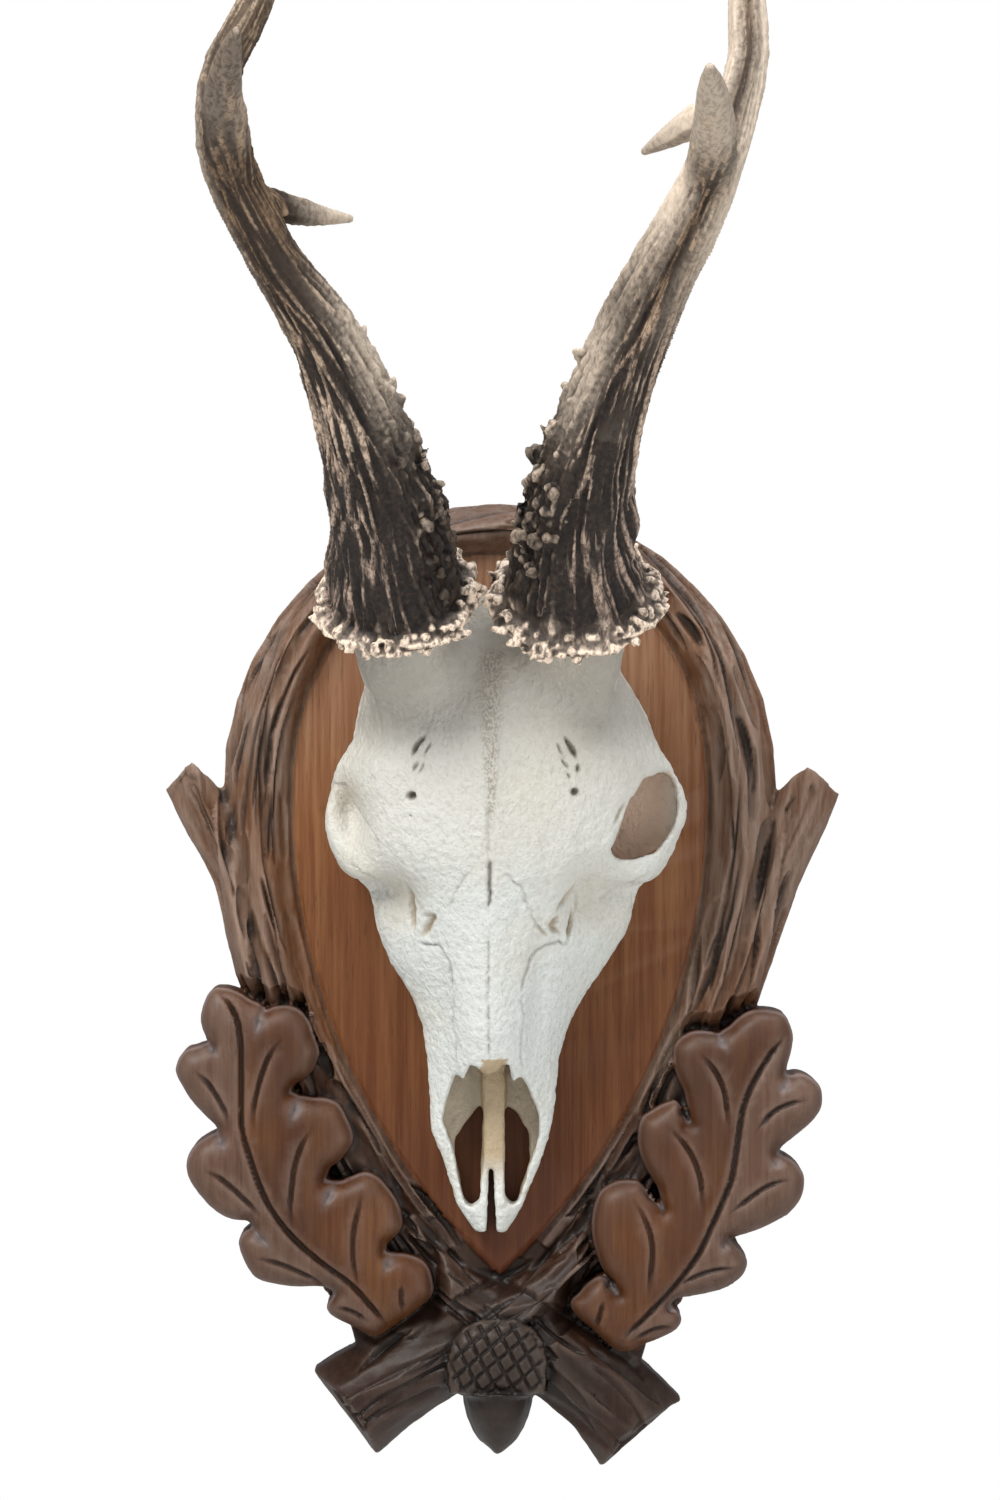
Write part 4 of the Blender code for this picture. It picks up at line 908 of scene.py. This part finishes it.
# Painted shade on the sides of the brow below the burrs.
painted_side_shade = 0.5 * np.clip((np.abs(x + 0.8) - 14.0) / 8.0, 0.0, 1.0) * np.clip((z - 58.0) / 8.0, 0.0, 1.0)
dents = 0.3 * (np.exp(-((x + 26.0) / 5.0) ** 2 - ((z - 20.0) / 7.0) ** 2)
               + np.exp(-((x - 23.0) / 5.0) ** 2 - ((z - 20.0) / 7.0) ** 2))
# Darker seams and holes, and painted shade in the creases.
skin.store("hollow", np.maximum(0.45 * hollow, np.clip((holes + seam) / 1.7, 0.0, 1.0)))
# Beige: painted shade deep in the nose and under the left brow; a darker beige on the septum, in the dents
# and in the fissures.
skin.store("beige", np.maximum.reduce([septum, nose * 0.75, left_brow_shade, dents, fissures / 1.6]))
skin.store("socket", socket_shade)
skin.store("flank", painted_side_shade * front)
skin.store("porous", strip)
thin_out(skull, MOST_TRIANGLES)
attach(skull, "root")
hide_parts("skull")

# %% [markdown]
# ## The antlers
# An antler grows from a ring of bony beads, the burr. Above it the beam is furrowed lengthwise and set
# with pearls, thickest on its inner side, and it turns smooth and pale towards the tips. The beads and
# pearls are many small lumps melted into the beam by the remesh, because they overhang and so can't be
# pushed out of a flat skin.

# %% Runs of the beams
ANTLER_SQUARE = 0.4
MOST_ON_ANTLER = 190000
BURR_BEADS = 260
PEARL_TRIES = 900
FLAP_LEVELS = (11.0, 18.0, 26.0, 34.0, 42.0, 50.0)
BURR_TOP = 12.0
WIND = np.array([0.35, 0.5, 0.42])
# Each point of a beam is across, up and out from the wall, in millimetres.
BEAMS = {
    "antler_left": [
        (-24.6, 93.2, 74.4), (-26.2, 104.5, 85.2), (-27.9, 118.5, 98.6), (-31.6, 131.8, 111.0),
        (-36.0, 145.2, 121.2), (-42.6, 158.6, 130.0), (-51.6, 171.2, 137.2), (-58.4, 183.6, 143.2),
        (-62.8, 194.0, 147.4), (-64.9, 204.0, 148.6), (-63.9, 215.4, 146.6), (-58.0, 227.6, 142.4),
        (-53.4, 239.4, 138.2), (-49.8, 248.4, 135.0),
    ],
    "antler_right": [
        (18.3, 93.6, 74.4), (18.0, 104.6, 85.4), (18.8, 117.8, 98.8), (21.6, 130.4, 110.6),
        (26.4, 144.4, 120.8), (31.8, 157.4, 129.6), (38.8, 171.6, 137.6), (46.0, 184.8, 143.6),
        (50.0, 194.6, 145.6), (53.6, 204.2, 144.0), (57.2, 217.4, 140.6), (57.2, 229.4, 137.4),
        (56.8, 240.4, 134.6), (56.0, 249.4, 132.0),
    ],
}
BURR_RADIUS = {"antler_left": 20.2, "antler_right": 21.6}


def beam_frames(run):
    """Places along a beam with its direction and the distance from the burr, in millimetres."""
    places = np.array(smooth_line([(x, -d, z) for x, z, d in run], 6))
    steps = np.diff(places, axis=0)
    lengths = np.concatenate([[0.0], np.cumsum(np.linalg.norm(steps, axis=1))])
    directions = np.vstack([steps, steps[-1:]])
    directions /= np.linalg.norm(directions, axis=1)[:, None]
    return places, directions, lengths


# %% Beads and pearls
def lump_object(name, centres, axes, sizes, rng):
    """One mesh of many small uneven lumps; each has a centre, an outward axis and a size in millimetres."""
    bpy.ops.object.select_all(action="DESELECT")
    bpy.ops.mesh.primitive_ico_sphere_add(subdivisions=2, radius=1.0)
    model = bpy.context.object
    shape = np.array([vertex.co for vertex in model.data.vertices])
    faces = np.array([face.vertices[:] for face in model.data.polygons])
    points, triangles = [], []
    for number, (centre, axis, size) in enumerate(zip(centres, axes, sizes)):
        uneven = shape * (1.0 + 0.2 * rng.standard_normal((len(shape), 1)))
        uneven *= rng.uniform(0.75, 1.25, 3)
        uneven += axis * (uneven @ axis)[:, None] * (0.3 if size < 1.3 else 1.1)
        points.append(centre + uneven * size)
        triangles.append(faces + number * len(shape))
    mesh = bpy.data.meshes.new(name)
    mesh.from_pydata((np.vstack(points) * MM).tolist(), [], np.vstack(triangles).tolist())
    bpy.data.objects.remove(model)
    lumps = bpy.data.objects.new(name, mesh)
    bpy.context.scene.collection.objects.link(lumps)
    return lumps


def antler_lumps(node, seed):
    """Beads round the burr and pearls up the inner side of the beam."""
    rng = np.random.default_rng(seed)
    places, directions, lengths = beam_frames(BEAMS[node])
    base, axis = places[0], directions[0]
    inward = np.array([1.0 if places[0][0] < 0 else -1.0, 0.0, 0.0])
    side = np.cross(axis, (0.0, -1.0, 0.3))
    side /= np.linalg.norm(side)
    up = np.cross(side, axis)
    centres, axes, sizes = [], [], []
    for _ in range(BURR_BEADS):
        angle = rng.uniform(0.0, 2.0 * math.pi)
        out = side * math.cos(angle) + up * math.sin(angle)
        level = rng.uniform(0.2, 6.4)
        reach = BURR_RADIUS[node] * (1.0 - 0.04 * abs(level - 3.0)) - rng.uniform(-0.3, 2.6)
        centres.append(base + out * reach + axis * level)
        axes.append(out)
        sizes.append(rng.uniform(0.6, 0.95) + 0.6 * rng.uniform() ** 2)
    for _ in range(PEARL_TRIES):
        level = rng.uniform(7.0, 84.0)
        spot = int(np.searchsorted(lengths, level))
        radius = np.interp(level, (0.0, 12.0, 34.0, 60.0, 84.0), (14.5, 13.2, 11.6, 9.4, 7.4))
        angle = rng.uniform(0.0, 2.0 * math.pi)
        out = side * math.cos(angle) + up * math.sin(angle)
        out -= directions[spot] * (out @ directions[spot])
        out /= np.linalg.norm(out)
        lean = max(out @ inward, 0.0)
        if rng.uniform() > 0.05 + 0.8 * lean * (1.0 - level / 110.0):
            continue
        thorn = lean > 0.5 and level < 76.0 and rng.uniform() < 0.22
        centres.append(places[spot] + out * (radius - 0.3))
        axes.append(out * 0.75 + directions[spot] * 0.65)
        if thorn:
            sizes.append(rng.uniform(1.35, 2.1))
        else:
            sizes.append(rng.uniform(0.4, 0.75) + 0.5 * lean * rng.uniform())
    for level in FLAP_LEVELS:
        spot = int(np.searchsorted(lengths, level))
        out = inward + 0.5 * rng.uniform(-1.0, 1.0) * np.array([0.0, -1.0, 0.3])
        out -= directions[spot] * (out @ directions[spot])
        out /= np.linalg.norm(out)
        radius = np.interp(level, (0.0, 34.0, 84.0), (14.0, 11.2, 7.4))
        centres.append(places[spot] + out * (radius - 0.9))
        axes.append(out * 0.8 + directions[spot] * 0.6)
        sizes.append(rng.uniform(1.8, 2.5))
    print(node, "has", len(centres), "lumps")
    return lump_object(node + "_lumps", centres, axes, sizes, rng)


# %% Furrows along the beams
for node, seed in (("antler_left", 71), ("antler_right", 72)):
    piece = node_copy(node, node.replace("antler", "roe_antler"))
    even_skin(piece, ANTLER_SQUARE, [antler_lumps(node, seed)])
    skin = Skin(piece)
    skin.relax(5)
    places, directions, lengths = beam_frames(BEAMS[node])
    tree = kdtree.KDTree(len(places))
    for index, place in enumerate(places):
        tree.insert(place, index)
    tree.balance()
    nearest = np.array([tree.find(point)[1] for point in skin.points])
    axis = directions[nearest]
    spoke = skin.points - places[nearest]
    level = lengths[nearest] + np.einsum("ij,ij->i", spoke, axis)
    spoke -= axis * np.einsum("ij,ij->i", spoke, axis)[:, None]
    radius = np.linalg.norm(spoke, axis=1)
    spoke /= np.maximum(radius, 1e-6)[:, None]
    inward = spoke[:, 0] * (1.0 if node == "antler_left" else -1.0)
    inner = np.clip(inward, 0.0, 1.0)
    share = np.clip(level / lengths[-1], 0.0, 1.0)
    rough = np.interp(share, (0.0, 0.05, 0.4, 0.62, 0.85, 1.0), (0.5, 1.0, 0.95, 0.6, 0.3, 0.0))
    rough = rough * (radius < 16.0)
    drift = level[:, None] * WIND / 13.0
    furrow = value_noise(spoke * 6.4 + drift + 40.0, seed)
    fine = value_noise(spoke * 15.0 + 2.6 * drift + 80.0, seed + 5)
    ridges = 0.85 * (1.0 - 2.4 * np.abs(furrow)) + 0.7 * fine
    knots = value_noise(skin.points / (2.2, 2.2, 2.8), seed + 12) * inner
    knots = knots * np.clip(1.6 - 2.6 * share, 0.0, 1.0)
    grit = value_noise(skin.points / 0.9, seed + 9) * (0.3 + rough)
    skin.push(0.6 * ridges * rough + 0.9 * knots + 0.16 * grit)
    hollow, edge = wear_fields(skin, 12, 2.2)
    skin.store("hollow", hollow)
    skin.store("edge", edge)
    skin.store("share", share)
    skin.store("inner", inner * np.clip(1.5 - 2.4 * share, 0.0, 1.0))
    skin.store("burr", np.clip((radius - 16.0) / 2.0, 0.0, 1.0) * (level < BURR_TOP))
    upper = np.clip((share - 0.42) / 0.2, 0.0, 1.0)
    tine = np.clip((radius - 9.0) / 10.0, 0.0, 1.0) * (level > 60.0)
    pale_flow = 0.8 * np.exp(-((share - 0.4) / 0.09) ** 2) * np.clip(2.0 * inward - 0.5, 0.0, 1.0)
    # Paler side edges on the upper beams: partly weathering, partly a painted highlight.
    if node == "antler_left":
        weathered_and_lit_edges = 0.6 * upper * np.clip(-2.0 * inward - 1.0, 0.0, 1.0)
        tine *= np.clip(1.3 * inward, 0.25, 0.85)
    else:
        weathered_and_lit_edges = upper * np.clip(1.4 * np.abs(inward) - 0.1, 0.0, 1.0)
        tine *= 0.7
    skin.store("tine", np.maximum.reduce([tine, weathered_and_lit_edges, pale_flow]))
    skin.store("ridge", np.clip(0.5 + 0.5 * ridges, 0.0, 1.0))
    streak_place = spoke * 10.0 + level[:, None] * WIND * 0.16
    layer = skin.mesh.attributes.new("streak_place", "FLOAT_VECTOR", "POINT")
    layer.data.foreach_set("vector", streak_place.astype(np.float32).ravel())
    thin_out(piece, MOST_ON_ANTLER)
    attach(piece, "root")
    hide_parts(node)

# %% [markdown]
# ## Finishes
# Every finish is built from nodes. A small builder keeps them readable: it adds a node, fills its inputs
# and links what comes from other nodes. Colours are given as they look on a screen and turned into light
# values.

# %% Node builder
def light(red, green, blue):
    """A screen colour from 0 to 255 as the linear colour that Blender mixes."""
    def linear(value):
        value /= 255.0
        return value / 12.92 if value <= 0.04045 else ((value + 0.055) / 1.055) ** 2.4
    return (linear(red), linear(green), linear(blue), 1.0)


def grey(value):
    return (value, value, value, 1.0)


class Finish:
    """A material under construction."""

    def __init__(self, name):
        self.material = bpy.data.materials.new(name)
        self.material.use_nodes = True
        self.tree = self.material.node_tree
        self.shader = self.tree.nodes["Principled BSDF"]
        self.place = self.add("ShaderNodeTexCoord").outputs["Object"]

    def add(self, kind, inputs=(), **settings):
        node = self.tree.nodes.new(kind)
        for key, value in settings.items():
            setattr(node, key, value)
        for key, value in dict(inputs).items():
            self.put(node.inputs[key], value)
        return node

    def put(self, socket, value):
        if isinstance(value, bpy.types.NodeSocket):
            self.tree.links.new(value, socket)
        else:
            socket.default_value = value

    def field(self, name, output="Fac"):
        return self.add("ShaderNodeAttribute", attribute_name=name).outputs[output]

    def noise(self, scale, stretch=(1.0, 1.0, 1.0), detail=4.0, roughness=0.55, place=None):
        spread = self.add("ShaderNodeMapping", {"Vector": place or self.place, "Scale": stretch}).outputs[0]
        inputs = {"Vector": spread, "Scale": scale, "Detail": detail, "Roughness": roughness}
        return self.add("ShaderNodeTexNoise", inputs).outputs[0]

    def ramp(self, value, *stops):
        node = self.add("ShaderNodeValToRGB", {"Fac": value})
        ramp = node.color_ramp
        while len(ramp.elements) < len(stops):
            ramp.elements.new(0.5)
        for element, (position, color) in zip(ramp.elements, stops):
            element.position = position
            element.color = color
        return node.outputs[0]

    def blend(self, share, first, second, kind="MIX"):
        node = self.add("ShaderNodeMix", data_type="RGBA", blend_type=kind)
        self.put(node.inputs[0], share)
        self.put(node.inputs[6], first)
        self.put(node.inputs[7], second)
        return node.outputs[2]

    def math(self, operation, first, second=0.0, clamp=False):
        node = self.add("ShaderNodeMath", operation=operation, use_clamp=clamp)
        self.put(node.inputs[0], first)
        self.put(node.inputs[1], second)
        return node.outputs[0]

    def height_share(self, low, high):
        """0 at the low and 1 at the high level, in metres."""
        level = self.add("ShaderNodeSeparateXYZ", {"Vector": self.place}).outputs["Z"]
        return self.add("ShaderNodeMapRange", {"Value": level, "From Min": low, "From Max": high}).outputs[0]

    def bump(self, height, distance, strength=1.0, below=None):
        inputs = {"Height": height, "Distance": distance * MM, "Strength": strength}
        if below:
            inputs["Normal"] = below
        return self.add("ShaderNodeBump", inputs).outputs[0]


# %% [markdown]
# ### Dark stained wood
# The grain runs up the board, so the noise is drawn out along Z. The panel runs from darker at its point
# to lighter at the top; the lighter top is a painted sheen. In the carving the cuts are near black, partly
# from stain and partly as painted shade, and the edges are paler, partly as rubbed-off stain and partly as a
# painted highlight. A satin varnish gives the soft grey shine on faces that look up.

# %% Wood finish
wood = Finish("dark_stained_wood")
streaks = wood.noise(620.0, (1.0, 1.0, 0.03), 6.0, 0.65)
bands = wood.noise(90.0, (1.0, 1.0, 0.08), 3.0)
pores = wood.noise(1500.0, (1.0, 1.0, 0.08), 2.0)
patches = wood.noise(30.0, (1.0, 1.0, 0.6), 3.0)
level = wood.height_share(-0.075, 0.11)
# Painted sheen: the panel is lighter towards the top and darker towards its point.
panel_tone_and_sheen = wood.ramp(
    level, (0.0, light(94, 52, 26)), (0.3, light(116, 72, 38)), (0.62, light(142, 98, 62)),
    (1.0, light(156, 124, 100)))
warm_bark = wood.ramp(
    level, (0.0, light(50, 29, 15)), (0.18, light(76, 48, 28)), (0.35, light(116, 80, 52)),
    (0.85, light(132, 98, 72)), (1.0, light(112, 86, 68)))
grey_bark = wood.ramp(
    level, (0.0, light(50, 38, 31)), (0.18, light(88, 70, 58)), (0.35, light(132, 110, 94)),
    (0.85, light(148, 128, 114)), (1.0, light(116, 100, 92)))
bark_tone = wood.blend(wood.ramp(patches, (0.42, grey(0.0)), (0.58, grey(1.0))), warm_bark, grey_bark)
leaf_tone = wood.ramp(patches, (0.35, light(64, 35, 14)), (0.65, light(102, 62, 26)))
leaf_tone = wood.blend(wood.math("MULTIPLY", wood.field("outer"), 0.75), leaf_tone, light(98, 77, 66))
tone = wood.blend(wood.field("leaf"), bark_tone, leaf_tone)
tone = wood.blend(wood.field("acorn"), tone, light(36, 24, 15))
tone = wood.blend(wood.field("panel"), tone, panel_tone_and_sheen)
shade = wood.blend(1.0, tone, light(205, 180, 160), "MULTIPLY")
tone = wood.blend(wood.ramp(streaks, (0.38, grey(1.0)), (0.62, grey(0.0))), tone, shade)
tone = wood.blend(wood.ramp(bands, (0.35, grey(0.5)), (0.65, grey(0.0))), tone, shade)
tone = wood.blend(wood.ramp(pores, (0.3, grey(0.4)), (0.4, grey(0.0))), tone, light(58, 36, 24))
# Paler edges: partly rubbed-off stain, partly a painted highlight.
tone = wood.blend(wood.math("MULTIPLY", wood.field("edge"), 0.55), tone, light(156, 136, 124))
# Painted highlight on the leaves' rims and notches.
tone = wood.blend(wood.math("MULTIPLY", wood.field("painted_rim_highlight"), 0.8, True), tone, light(158, 144, 142))
# Near black in the cuts and hollows: partly stain, partly painted shade in hollows and recesses.
tone = wood.blend(wood.math("MULTIPLY", wood.field("hollow"), 0.92, True), tone, light(24, 17, 13))
wood.put(wood.shader.inputs["Base Color"], tone)
wood.shader.inputs["Specular IOR Level"].default_value = 0.3
gloss = wood.add("ShaderNodeMapRange", {"Value": streaks, "To Min": 0.4, "To Max": 0.56}).outputs[0]
wood.put(wood.shader.inputs["Roughness"], gloss)
wood.put(wood.shader.inputs["Normal"], wood.bump(pores, 0.1, 0.35, wood.bump(streaks, 0.2, 0.3)))
print("wood finish has", len(wood.tree.nodes), "nodes")

# %% [markdown]
# ### Bleached bone
# Boiled and bleached bone is a warm white with a faint cool cast on the nose, darker towards the top as
# painted shade under the burrs. It is matt and finely porous, and coarse pores fill a band up the middle of
# the brow. The seams and holes are darker. Painted shade darkens the creases and the sides of the brow and
# tints the right eye socket, the top of the left one and the back of the nose beige; the septum, the dents
# and the fissures below the eyes are a darker beige.

# %% Bone finish
bone = Finish("bleached_bone")
clouds = bone.noise(34.0, (1.0, 1.0, 1.0), 3.0)
fine = bone.noise(900.0, (1.0, 1.0, 0.8), 3.0, 0.6)
pock = bone.noise(1900.0, (1.0, 1.0, 0.75), 1.0, 0.4)
# Darker towards the top: painted shade under the burrs.
tone = bone.ramp(
    bone.height_share(-0.06, 0.1), (0.0, light(222, 225, 221)), (0.45, light(216, 220, 217)),
    (0.68, light(214, 213, 206)), (0.84, light(188, 183, 174)), (1.0, light(166, 158, 147)))
tone = bone.blend(bone.ramp(clouds, (0.45, grey(0.0)), (0.75, grey(0.35))), tone, light(208, 196, 172))
tone = bone.blend(bone.ramp(fine, (0.36, grey(0.3)), (0.48, grey(0.0))), tone, light(186, 180, 168))
# Painted shade on the sides of the brow.
tone = bone.blend(bone.field("flank"), tone, light(146, 141, 132))
porous = bone.math("MULTIPLY", bone.field("porous"), bone.ramp(pock, (0.44, grey(0.55)), (0.56, grey(0.0))))
tone = bone.blend(bone.math("MULTIPLY", bone.field("porous"), 0.2), tone, light(176, 168, 154))
tone = bone.blend(porous, tone, light(134, 122, 106))
# Beige, partly painted shade in the nose and under the left brow.
tone = bone.blend(bone.field("beige"), tone, light(178, 158, 128))
# Painted shade in the right orbit.
tone = bone.blend(bone.field("socket"), tone, light(222, 200, 182))
# Darker seams and holes, and painted shade in the creases.
tone = bone.blend(bone.math("MULTIPLY", bone.field("hollow"), 0.9, True), tone, light(92, 78, 62))
bone.put(bone.shader.inputs["Base Color"], tone)
bone.shader.inputs["Roughness"].default_value = 0.6
bone.put(bone.shader.inputs["Normal"], bone.bump(pock, 0.2, 0.4, bone.bump(fine, 0.7, 1.0)))

# %% [markdown]
# ### Antler
# Sap and bark stain the furrows dark brown while rubbing keeps the ridges pale, most of all on the tips
# and on the beads of the burr. From its middle up the right antler is paler towards both side edges, the
# left one along its outer edge alone, partly from weathering and partly as a painted highlight. The share
# of the beam's length is an attribute, so one ramp runs from burr to tip.
# A second attribute winds round the beam and along it, so that the fine streaks follow its bends.

# %% Antler finish
horn = Finish("antler")
speckle = horn.noise(900.0, (1.0, 1.0, 0.6), 4.0, 0.65)
streaks = horn.noise(2.6, (1.0, 1.0, 1.0), 5.0, 0.65, horn.field("streak_place", "Vector"))
patches = horn.noise(60.0, (1.0, 1.0, 0.4), 3.0)
share = horn.field("share")
dark = horn.ramp(
    share, (0.0, light(22, 15, 13)), (0.35, light(30, 20, 15)), (0.55, light(44, 31, 20)),
    (0.8, light(52, 37, 24)), (1.0, light(130, 108, 84)))
pale = horn.ramp(
    share, (0.0, light(178, 154, 140)), (0.35, light(216, 190, 168)), (0.55, light(150, 122, 94)),
    (0.8, light(128, 102, 74)), (1.0, light(206, 188, 164)))
ridges = horn.math("MULTIPLY", horn.field("ridge"), 0.55)
lift = horn.math("ADD", ridges, horn.math("MULTIPLY", patches, 0.25))
lift = horn.math("ADD", lift, horn.math("MULTIPLY", streaks, 0.55))
lift = horn.math("SUBTRACT", lift, horn.math("MULTIPLY", horn.field("inner"), 0.3))
tone = horn.blend(horn.ramp(lift, (0.76, grey(0.0)), (0.96, grey(1.0))), dark, pale)
knobs = horn.math("MULTIPLY", horn.ramp(horn.field("edge"), (0.3, grey(0.0)), (1.0, grey(1.0))),
                  horn.ramp(patches, (0.4, grey(0.15)), (0.6, grey(0.8))))
tone = horn.blend(knobs, tone, light(200, 180, 160))
raised = horn.ramp(horn.field("edge"), (0.0, grey(0.2)), (0.3, grey(1.0)))
beads = horn.math("MULTIPLY", horn.field("burr"), raised)
tone = horn.blend(beads, tone, light(250, 228, 206))
# Pale tines and upper beams; on the side edges partly a painted highlight.
tone = horn.blend(horn.math("MULTIPLY", horn.field("tine"), 0.9), tone, light(226, 208, 188))
stains = horn.math("MULTIPLY", horn.ramp(speckle, (0.4, grey(0.75)), (0.54, grey(0.0))),
                   horn.math("SUBTRACT", 1.0, horn.math("MULTIPLY", horn.field("tine"), 0.75)))
tone = horn.blend(stains, tone, light(60, 45, 34))
tone = horn.blend(horn.math("MULTIPLY", horn.field("hollow"), 0.97, True), tone, light(18, 13, 12))
horn.put(horn.shader.inputs["Base Color"], tone)
horn.shader.inputs["Roughness"].default_value = 0.55
horn.shader.inputs["Specular IOR Level"].default_value = 0.35
horn.put(horn.shader.inputs["Normal"], horn.bump(streaks, 0.35, 0.6, horn.bump(speckle, 0.3, 0.7)))

# %% Put the finishes on
WEARERS = {"carved_board": wood, "roe_skull": bone, "roe_antler_left": horn, "roe_antler_right": horn}
for name, finish in WEARERS.items():
    mesh = bpy.data.objects[name].data
    mesh.materials.clear()
    mesh.materials.append(finish.material)
    print(name, "wears", finish.material.name)

# %% [markdown]
# ## Floor, light and sky
# The plaque hangs, so the pale floor lies well below it and out of the photograph's frame. Soft light
# comes mostly from above and from the left, which picks out the upper edges of the carving. The sky is
# white to the camera, as the cut-out background is, but dimmer as a light.

# %% Studio
bpy.ops.object.select_all(action="DESELECT")
FLOOR_RADIUS = 1.6
FLOOR_LEVEL = -0.36
AIM = Vector((0.0, -0.05, 0.06))
bpy.ops.mesh.primitive_circle_add(
    vertices=96, radius=FLOOR_RADIUS, fill_type="NGON", location=(0.0, 0.0, FLOOR_LEVEL))
floor = bpy.context.object
floor.name = "pale_floor"
paper = Finish("pale_floor")
paper.shader.inputs["Base Color"].default_value = light(226, 225, 222)
paper.shader.inputs["Roughness"].default_value = 0.9
floor.data.materials.append(paper.material)


def soft_light(name, place, size, power, tint=(1.0, 1.0, 1.0)):
    """A square area light that looks at the middle of the trophy."""
    data = bpy.data.lights.new(name, "AREA")
    data.size = size
    data.energy = power
    data.color = tint
    lamp = bpy.data.objects.new(name, data)
    lamp.location = place
    lamp.rotation_euler = (AIM - Vector(place)).to_track_quat("-Z", "Y").to_euler()
    bpy.context.scene.collection.objects.link(lamp)


soft_light("window", (-0.75, -1.15, 1.25), 0.7, 30.0, (1.0, 0.99, 0.97))
soft_light("sky_panel", (0.25, -0.35, 1.5), 0.8, 14.0, (0.94, 0.97, 1.0))
soft_light("fill", (1.3, -1.3, 0.1), 1.0, 9.0)

world = bpy.data.worlds.new("studio")
world.use_nodes = True
tree = world.node_tree
backdrop = tree.nodes["Background"]
backdrop.inputs["Color"].default_value = (1.0, 1.0, 1.0, 1.0)
glow = tree.nodes.new("ShaderNodeBackground")
glow.inputs["Color"].default_value = (0.97, 0.98, 1.0, 1.0)
glow.inputs["Strength"].default_value = 0.36
rays = tree.nodes.new("ShaderNodeLightPath")
choose = tree.nodes.new("ShaderNodeMixShader")
tree.links.new(rays.outputs["Is Camera Ray"], choose.inputs[0])
tree.links.new(glow.outputs[0], choose.inputs[1])
tree.links.new(backdrop.outputs[0], choose.inputs[2])
tree.links.new(choose.outputs[0], tree.nodes["World Output"].inputs["Surface"])
bpy.context.scene.world = world
bpy.context.scene.view_settings.view_transform = "Standard"
